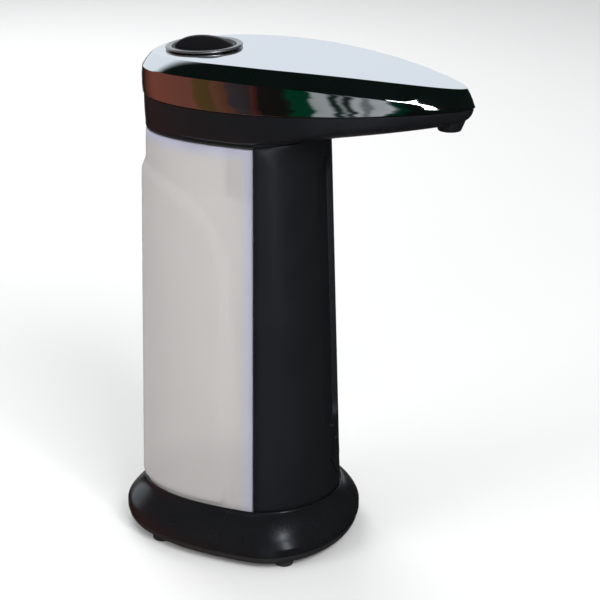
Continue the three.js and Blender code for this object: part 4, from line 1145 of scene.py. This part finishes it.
class BuildFiller(DispenserOperator):
    """Filler: neck, plug with its seal, knob with its grip, and the metal ring."""

    bl_idname = "dispenser.filler"
    bl_label = "Filler cap"

    def build(self, s):
        black = simple_looks()["black_moulding"]
        bore, outer = 9.2, 10.6
        top = -2.3
        low = (BODY_HIGH - 10) - crown(FACE, FILLER_Y)
        flange = HEAD_FLOOR + 0.9 - crown(FACE, FILLER_Y)
        neck = turned([
            (bore, low + 0.3), (bore + 0.3, low), (outer - 0.3, low), (outer, low + 0.3), (outer, flange),
            (12, flange), (12, flange + 1.2), (outer, flange + 1.2), (outer, top - 0.4), (outer - 0.4, top),
            (bore + 0.5, top), (bore, top - 0.5), (bore, low + 0.3),
        ])
        finished(mesh_object("filler_collar", neck, TO_FILLER), black, replaces=["filler_neck"])

        r, high = bore - 0.3, top - 0.3
        foot = high - 11
        groove = foot + 3
        plug = turned([
            (0, foot), (r - 0.6, foot), (r, foot + 0.6), (r, groove - 0.8), (r - 0.8, groove - 0.8),
            (r - 0.8, groove + 0.8), (r, groove + 0.8), (r, high - 0.3), (r - 0.3, high), (r - 1.7, high),
            (r - 2, high - 0.3), (r - 2, foot + 2), (0, foot + 2),
        ])
        finished(
            mesh_object("filler_plug", plug, TO_FILLER), black, body="cap_plug", replaces=["cap_plug"],
        )
        seal = turned([
            (r - 0.7, groove - 0.65), (r - 0.05, groove - 0.68), (r + 0.12, groove - 0.5), (r + 0.19, groove),
            (r + 0.12, groove + 0.5), (r - 0.05, groove + 0.68), (r - 0.7, groove + 0.65), (r - 0.7, groove - 0.65),
        ])
        finished(
            mesh_object("filler_seal", seal, TO_FILLER), simple_looks()["silicone"], body="cap_plug",
            replaces=["cap_seal"],
        )
        self.knob(s, foot)
        band = turned([
            (12.3, 0.3), (14.6, 0.3), (14.75, 0.42), (14.75, 0.7), (14.6, 0.98), (14.3, 1.16), (13.9, 1.22),
            (12.7, 1.02), (12.42, 0.92), (12.3, 0.8), (12.3, 0.3),
        ], steps=160)
        finished(
            mesh_object("filler_ring", band, TO_FILLER), satin_ring(s), body="cap", replaces=["cap_ring"],
            sharp=50,
        )

    def knob(self, s, foot):
        spigot, r = 6.6, 12.0
        disc = turned([
            (0, foot + 2.3), (spigot - 0.4, foot + 2.3), (spigot, foot + 2.7), (spigot, -1), (r, -1), (r, 0.5),
            (r - 0.12, 0.75), (r - 0.4, 0.85), (r - 0.7, 0.75), (r - 1.1, 0.4), (r - 1.8, -0.1), (r - 2.8, -0.4),
            (r - 4.5, -0.55), (0, -0.6),
        ], steps=128)
        obj = mesh_object("cap_grip", disc, TO_FILLER)
        reach, base, crest, half = 11.7, -0.9, 1.3 + s.grip_top, 2.3
        columns, rows = 48, 28

        def place(column, row):
            along = -math.cos(math.pi * column / columns)
            around = math.pi * (row / rows - 0.5)
            arch = base + (crest - base) * max(0.0, 1 - along * along) ** 0.42
            across = math.copysign(abs(math.sin(around)) ** 0.55, around)
            flare = 1 + 0.35 * (1 - abs(math.cos(around)) ** 0.5)
            return Vector((half * across * flare, reach * along, base + (arch - base) * math.cos(around) ** 0.6))

        grip = sheet(columns, rows, place)
        bmesh.ops.remove_doubles(grip, verts=grip.verts, dist=1e-3)
        bmesh.ops.holes_fill(grip, edges=grip.edges, sides=0)
        bmesh.ops.transform(grip, matrix=TO_FRAME.inverted() @ TO_FILLER, verts=grip.verts)
        carve(obj, grip, operation="UNION")
        finished(obj, satin_black(s), body="cap", replaces=["cap_knob"], sharp=35)


class BuildHardware(DispenserOperator):
    """Small parts: battery door, cells, screws, switch slider; the inner parts keep their CAD shapes with finishes."""

    bl_idname = "dispenser.hardware"
    bl_label = "Door, cells, screws and inner parts"

    KEPT = {
        "black_moulding": ["battery_tray", "power_switch_body", "column_back_plate", "pump_body", "pump_cover",
                           "inlet_strainer"],
        "steel": ["battery_contact_front", "battery_contact_rear", "pump_drive_gear", "pump_idler_gear",
                  "motor_bracket", "motor_can", "motor_pinion"],
        "rubber": ["tank_gasket"],
        "silicone": ["delivery_tube", "suction_tube"],
        "nylon": ["reduction_gear"],
        "circuit_board": ["sensor_board", "control_board"],
        "wire_jacket": ["power_lead"],
    }

    def build(self, s):
        looks = simple_looks()
        for name, nodes in self.KEPT.items():
            for part in nodes:
                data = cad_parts[part].data
                data.materials.clear()
                data.materials.append(looks[name])
        self.door(looks["black_moulding"])
        self.slider(looks["nylon"])
        for n in range(1, 5):
            self.cell(f"battery_{n}", n, looks)
        for name in [f"plate_screw_{n}" for n in range(1, 5)] + ["column_screw_1", "column_screw_2"]:
            self.screw(name, 1, looks["steel"])
        for name in ("pump_screw_1", "pump_screw_2"):
            self.screw(name, -1, looks["steel"])

    def door(self, black):
        low, high = (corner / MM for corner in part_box("battery_door"))
        y0, y1 = low.y - AXIS_Y, 30.0
        half = high.x - 2.4
        z0, z1 = PLATE_LOW + 0.3, PLATE_LOW + 2.7
        panel = box((-half, y0, z0), (half, y1, z1))
        round_edges(panel, 0.35, angle=60)
        obj = mesh_object("cell_door", panel)
        rods = []
        for radius, reach in ((1.2, half), (1.0, half + 2.4)):
            bar = rod(radius, -reach, reach, steps=40)
            bmesh.ops.rotate(bar, matrix=Matrix.Rotation(math.pi / 2, 3, "Y"), verts=bar.verts)
            bmesh.ops.translate(bar, vec=(0, 30, PLATE_LOW + 1.5), verts=bar.verts)
            rods.append(bar)
        carve(obj, *rods, operation="UNION")
        ribs = [box((-7, y0 + 6 + 2 * i, z0 - 0.5), (7, y0 + 6.9 + 2 * i, z0 + 0.4)) for i in range(4)]
        carve(obj, rod(5, z0 - 0.5, z0 + 1.2, 0, y0, top=4.4), *ribs)
        finished(obj, black, body="battery_door", replaces=["battery_door"])

    def slider(self, nylon):
        low, high = (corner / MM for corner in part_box("power_switch_slider"))
        shift = Vector((0, AXIS_Y, 0))
        bm = box(low - shift, high - shift)
        round_edges(bm, 0.3, angle=60)
        obj = mesh_object("switch_slider", bm)
        carve(obj, box((-0.3, low.y - AXIS_Y - 1, low.z - 1), (0.3, high.y - AXIS_Y + 1, low.z + 0.35)))
        finished(obj, nylon, body="switch_slider", replaces=["power_switch_slider"])

    def cell(self, name, n, looks):
        low, high = (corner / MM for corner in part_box(name))
        middle = (low + high) / 2
        r, half = (high.x - low.x) / 2, (high.y - low.y) / 2
        bm = turned([
            (0, -half + 0.15), (r - 1.4, -half + 0.15), (r - 1.2, -half), (r - 0.5, -half), (r, -half + 0.5),
            (r, half - 1.5), (r - 0.5, half - 1), (2.6, half - 1), (2.4, half - 1.15), (2.1, half - 1.0),
            (1.9, half - 0.9), (1.9, half - 0.2), (1.7, half), (0, half),
        ], steps=64)
        facing = 1 if n % 2 else -1
        turn = Matrix.Translation(Vector((middle.x, middle.y - AXIS_Y, middle.z))) @ Matrix.Rotation(
            -facing * math.pi / 2, 4, "X"
        )
        bmesh.ops.transform(bm, matrix=turn, verts=bm.verts)
        obj = finished(mesh_object("cell_" + name[-1], bm), looks["cell_jacket"], replaces=[name])
        obj.data.materials.append(looks["steel"])
        for polygon in obj.data.polygons:
            along = polygon.center - middle * MM
            if Vector((along.x, 0, along.z)).length < (r - 0.8) * MM:
                polygon.material_index = 1

    def screw(self, name, up, steel):
        low, high = (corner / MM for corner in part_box(name))
        middle = (low + high) / 2
        length = high.z - low.z
        bm = turned([
            (0, 0), (1.5, 0.05), (2.05, 0.25), (2.3, 0.65), (2.3, 1.4), (1.1, 1.4), (1.1, length - 1), (0.3, length),
            (0, length),
        ], steps=40)
        flip = Matrix.Rotation(0 if up > 0 else math.pi, 4, "X")
        z = low.z if up > 0 else high.z
        move = Matrix.Translation((middle.x, middle.y - AXIS_Y, z))
        bmesh.ops.transform(bm, matrix=move @ flip, verts=bm.verts)
        obj = mesh_object(name.replace("screw", "fixing"), bm)
        x, y = middle.x, middle.y - AXIS_Y
        z0, z1 = sorted((z - up, z + up * 0.8))
        carve(obj, box((x - 1.4, y - 0.25, z0), (x + 1.4, y + 0.25, z1)), box((x - 0.25, y - 1.4, z0), (x + 0.25, y + 1.4, z1)))
        finished(obj, steel, replaces=[name])


# The dark room that the plating mirrors: share of a turn round the horizon, and colour.
ROOM = (
    (0.0, (0.02, 0.012, 0.01)), (0.1, (0.25, 0.24, 0.23)), (0.13, (0.02, 0.01, 0.008)), (0.24, (0.16, 0.05, 0.033)),
    (0.355, (0.13, 0.045, 0.03)), (0.363, (0.075, 0.042, 0.014)), (0.387, (0.065, 0.038, 0.014)),
    (0.392, (0.1, 0.042, 0.024)), (0.406, (0.08, 0.03, 0.018)), (0.412, (0.03, 0.024, 0.026)),
    (0.43, (0.024, 0.018, 0.018)), (0.438, (0.06, 0.016, 0.013)), (0.456, (0.035, 0.01, 0.009)),
    (0.464, (0.008, 0.006, 0.006)), (0.499, (0.006, 0.006, 0.005)), (0.503, (0.001, 0.03, 0.013)),
    (0.524, (0.001, 0.026, 0.012)), (0.528, (0.26, 0.28, 0.28)), (0.54, (0.28, 0.3, 0.3)), (0.543, (0.002, 0.012, 0.008)),
    (0.549, (0.003, 0.01, 0.007)), (0.552, (0.32, 0.34, 0.34)), (0.555, (0.003, 0.006, 0.005)),
    (0.5595, (0.003, 0.006, 0.005)), (0.562, (0.32, 0.34, 0.34)), (0.568, (0.32, 0.34, 0.34)),
    (0.572, (0.003, 0.006, 0.005)), (0.577, (0.3, 0.32, 0.33)), (0.595, (0.34, 0.36, 0.37)), (0.599, (0.001, 0.024, 0.012)),
    (0.62, (0.003, 0.005, 0.004)), (0.9, (0.006, 0.008, 0.007)),
)


class BuildStage(DispenserOperator):
    """Pale floor, soft lights, surroundings and camera."""

    bl_idname = "dispenser.stage"
    bl_label = "Stage"

    def build(self, s):
        scene = bpy.context.scene
        scene.view_settings.view_transform = "Standard"
        self.surroundings(scene)
        self.floor()
        self.lamp("key", (-0.75, -0.75, 0.95), (0, 0, 0.09), 0.6, 9.0, glossy=False)
        self.lamp("fill", (-0.8, 0.75, 0.55), (0, 0, 0.09), 0.6, 5.0, glossy=False)
        self.lamp("back", (0.7, 0.6, 0.8), (0, 0, 0.1), 0.6, 6.0, glossy=False)
        self.lamp("strip", (-0.5, -0.68, 0.3), (0, 0, 0.1), 0.1, 1.3, tall=0.6)
        self.lamp("upper", (-0.28, -0.36, 0.47), (0, 0, 0.03), 0.1, 0.3)
        self.camera(scene)

    def floor(self):
        bm = bmesh.new()
        bmesh.ops.create_circle(bm, cap_ends=True, radius=4.0 / MM, segments=64)
        obj = mesh_object("pale_floor", bm, Matrix.Scale(MM, 4))
        obj.data.materials.append(look("pale paper", ((0.86, 0.86, 0.86), (0.88, 0.88, 0.88)), (0.8, 0.9), patch=4, tint=3))
        obj.visible_glossy = False

    def lamp(self, name, place, target, size, power, tall=None, glossy=True):
        light = bpy.data.lights.new(name, "AREA")
        light.energy = power
        light.size = size
        if tall:
            light.shape = "RECTANGLE"
            light.size_y = tall
        obj = bpy.data.objects.new(name, light)
        obj.location = place
        obj.rotation_mode = "QUATERNION"
        obj.rotation_quaternion = (Vector(target) - Vector(place)).to_track_quat("-Z", "Y")
        obj.visible_glossy = glossy
        bpy.context.scene.collection.objects.link(obj)

    def surroundings(self, scene):
        """White to the eye and soft to matt surfaces; gloss sees a white backdrop with a dark room in front of it."""
        world = bpy.data.worlds.new("studio")
        world.use_nodes = True
        scene.world = world
        tree = world.node_tree
        tree.nodes.clear()
        out = tree.nodes.new("ShaderNodeOutputWorld")
        path = tree.nodes.new("ShaderNodeLightPath")
        place = tree.nodes.new("ShaderNodeTexCoord").outputs["Generated"]
        split = tree.nodes.new("ShaderNodeSeparateXYZ")
        toward = node(tree, "ShaderNodeVectorMath", operation="DOT_PRODUCT")
        toward.inputs[1].default_value = (0.8, 0.6, 0)
        backdrop = node(tree, "ShaderNodeMapRange", {"From Min": 0.6, "From Max": 0.75}, interpolation_type="SMOOTHSTEP")
        above = node(tree, "ShaderNodeMapRange", {"From Min": -0.06, "From Max": 0.04}, interpolation_type="SMOOTHSTEP")
        not_high = node(tree, "ShaderNodeMapRange", {"From Min": 0.85, "From Max": 0.6}, interpolation_type="SMOOTHSTEP")
        overhead = node(tree, "ShaderNodeMapRange", {"From Min": 0.25, "From Max": 0.5}, interpolation_type="SMOOTHSTEP")
        mask, band = (node(tree, "ShaderNodeMath", operation="MULTIPLY") for _ in range(2))

        # The room is upright stripes round the horizon, a little crooked.
        wobble = node(tree, "ShaderNodeTexNoise", {"Scale": 5.0, "Detail": 2.0})
        crooked = node(tree, "ShaderNodeVectorMath", operation="MULTIPLY_ADD")
        crooked.inputs[1].default_value = (0.12, 0.12, 0)
        turned_round = node(tree, "ShaderNodeMapping")
        turned_round.inputs["Rotation"].default_value = (0, 0, math.pi)
        round_horizon = node(tree, "ShaderNodeTexGradient", gradient_type="RADIAL")
        room = tree.nodes.new("ShaderNodeValToRGB")
        room.color_ramp.interpolation = "EASE"
        while len(room.color_ramp.elements) < len(ROOM):
            room.color_ramp.elements.new(0.5)
        for element, (position, colour) in zip(room.color_ramp.elements, ROOM):
            element.position = position
            element.color = (*colour, 1)
        ceiling = node(tree, "ShaderNodeMix", data_type="RGBA")
        ceiling.inputs["B"].default_value = (0.003, 0.006, 0.005, 1)
        glossy = node(tree, "ShaderNodeMix", data_type="RGBA")
        glossy.inputs["B"].default_value = (0.78, 0.83, 0.885, 1)
        shades = []
        for colour, strength in (((1, 1, 1), 1.0), ((0.98, 0.99, 1.0), 0.5), ((1, 0.98, 0.96), 1.25)):
            shades.append(node(tree, "ShaderNodeBackground", {"Color": (*colour, 1), "Strength": strength}))
        seen, soft, through = shades
        mirrored = tree.nodes.new("ShaderNodeBackground")
        pick_through, pick_glossy, pick_camera = (tree.nodes.new("ShaderNodeMixShader") for _ in range(3))
        link = tree.links.new
        link(place, split.inputs["Vector"])
        link(place, toward.inputs[0])
        link(toward.outputs["Value"], backdrop.inputs["Value"])
        for gate in (above, not_high, overhead):
            link(split.outputs["Z"], gate.inputs["Value"])
        link(backdrop.outputs["Result"], band.inputs[0])
        link(above.outputs["Result"], band.inputs[1])
        link(band.outputs["Value"], mask.inputs[0])
        link(not_high.outputs["Result"], mask.inputs[1])
        link(place, wobble.inputs["Vector"])
        link(wobble.outputs["Color"], crooked.inputs[0])
        link(place, crooked.inputs[2])
        link(crooked.outputs["Vector"], turned_round.inputs["Vector"])
        link(turned_round.outputs["Vector"], round_horizon.inputs["Vector"])
        link(round_horizon.outputs["Fac"], room.inputs["Fac"])
        link(overhead.outputs["Result"], ceiling.inputs["Factor"])
        link(room.outputs["Color"], ceiling.inputs["A"])
        link(mask.outputs["Value"], glossy.inputs["Factor"])
        link(ceiling.outputs["Result"], glossy.inputs["A"])
        link(glossy.outputs["Result"], mirrored.inputs["Color"])
        link(path.outputs["Is Transmission Ray"], pick_through.inputs["Fac"])
        link(soft.outputs["Background"], pick_through.inputs[1])
        link(through.outputs["Background"], pick_through.inputs[2])
        link(path.outputs["Is Glossy Ray"], pick_glossy.inputs["Fac"])
        link(pick_through.outputs["Shader"], pick_glossy.inputs[1])
        link(mirrored.outputs["Background"], pick_glossy.inputs[2])
        link(path.outputs["Is Camera Ray"], pick_camera.inputs["Fac"])
        link(pick_glossy.outputs["Shader"], pick_camera.inputs[1])
        link(seen.outputs["Background"], pick_camera.inputs[2])
        link(pick_camera.outputs["Shader"], out.inputs["Surface"])

    def camera(self, scene):
        data = bpy.data.cameras.new("camera")
        data.lens = 109.3
        data.sensor_width = 36
        obj = bpy.data.objects.new("camera", data)
        scene.collection.objects.link(obj)
        forward = Vector((0.8832, 0.3147, -0.3478)).normalized()
        obj.location = Vector((0, -0.0026, 0.0995)) - forward * 0.7134
        obj.rotation_mode = "QUATERNION"
        obj.rotation_quaternion = forward.to_track_quat("-Z", "Y") @ Quaternion((0, 0, 1), math.radians(0.395))
        scene.camera = obj


class DispenserPanel(bpy.types.Panel):
    """Sidebar panel that lists the builders."""

    bl_idname = "VIEW3D_PT_dispenser"
    bl_label = "Soap dispenser"
    bl_space_type = "VIEW_3D"
    bl_region_type = "UI"
    bl_category = "Dispenser"

    def draw(self, context):
        for name in DispenserSettings.__annotations__:
            self.layout.prop(context.scene.dispenser, name)
        for builder in BUILDERS:
            self.layout.operator(builder.bl_idname)


BUILDERS = (
    BuildStage, BuildCover, BuildHull, BuildOutlet, BuildColumn, BuildTank, BuildBase, BuildFiller, BuildHardware,
)


def register():
    for kind in (DispenserSettings, *BUILDERS, DispenserPanel):
        bpy.utils.register_class(kind)
    bpy.types.Scene.dispenser = bpy.props.PointerProperty(type=DispenserSettings)


def unregister():
    del bpy.types.Scene.dispenser
    for kind in (DispenserPanel, *reversed(BUILDERS), DispenserSettings):
        bpy.utils.unregister_class(kind)


def main():
    register()
    for builder in BUILDERS:
        getattr(bpy.ops.dispenser, builder.bl_idname.split(".")[1])()


if __name__ == "__main__":
    main()
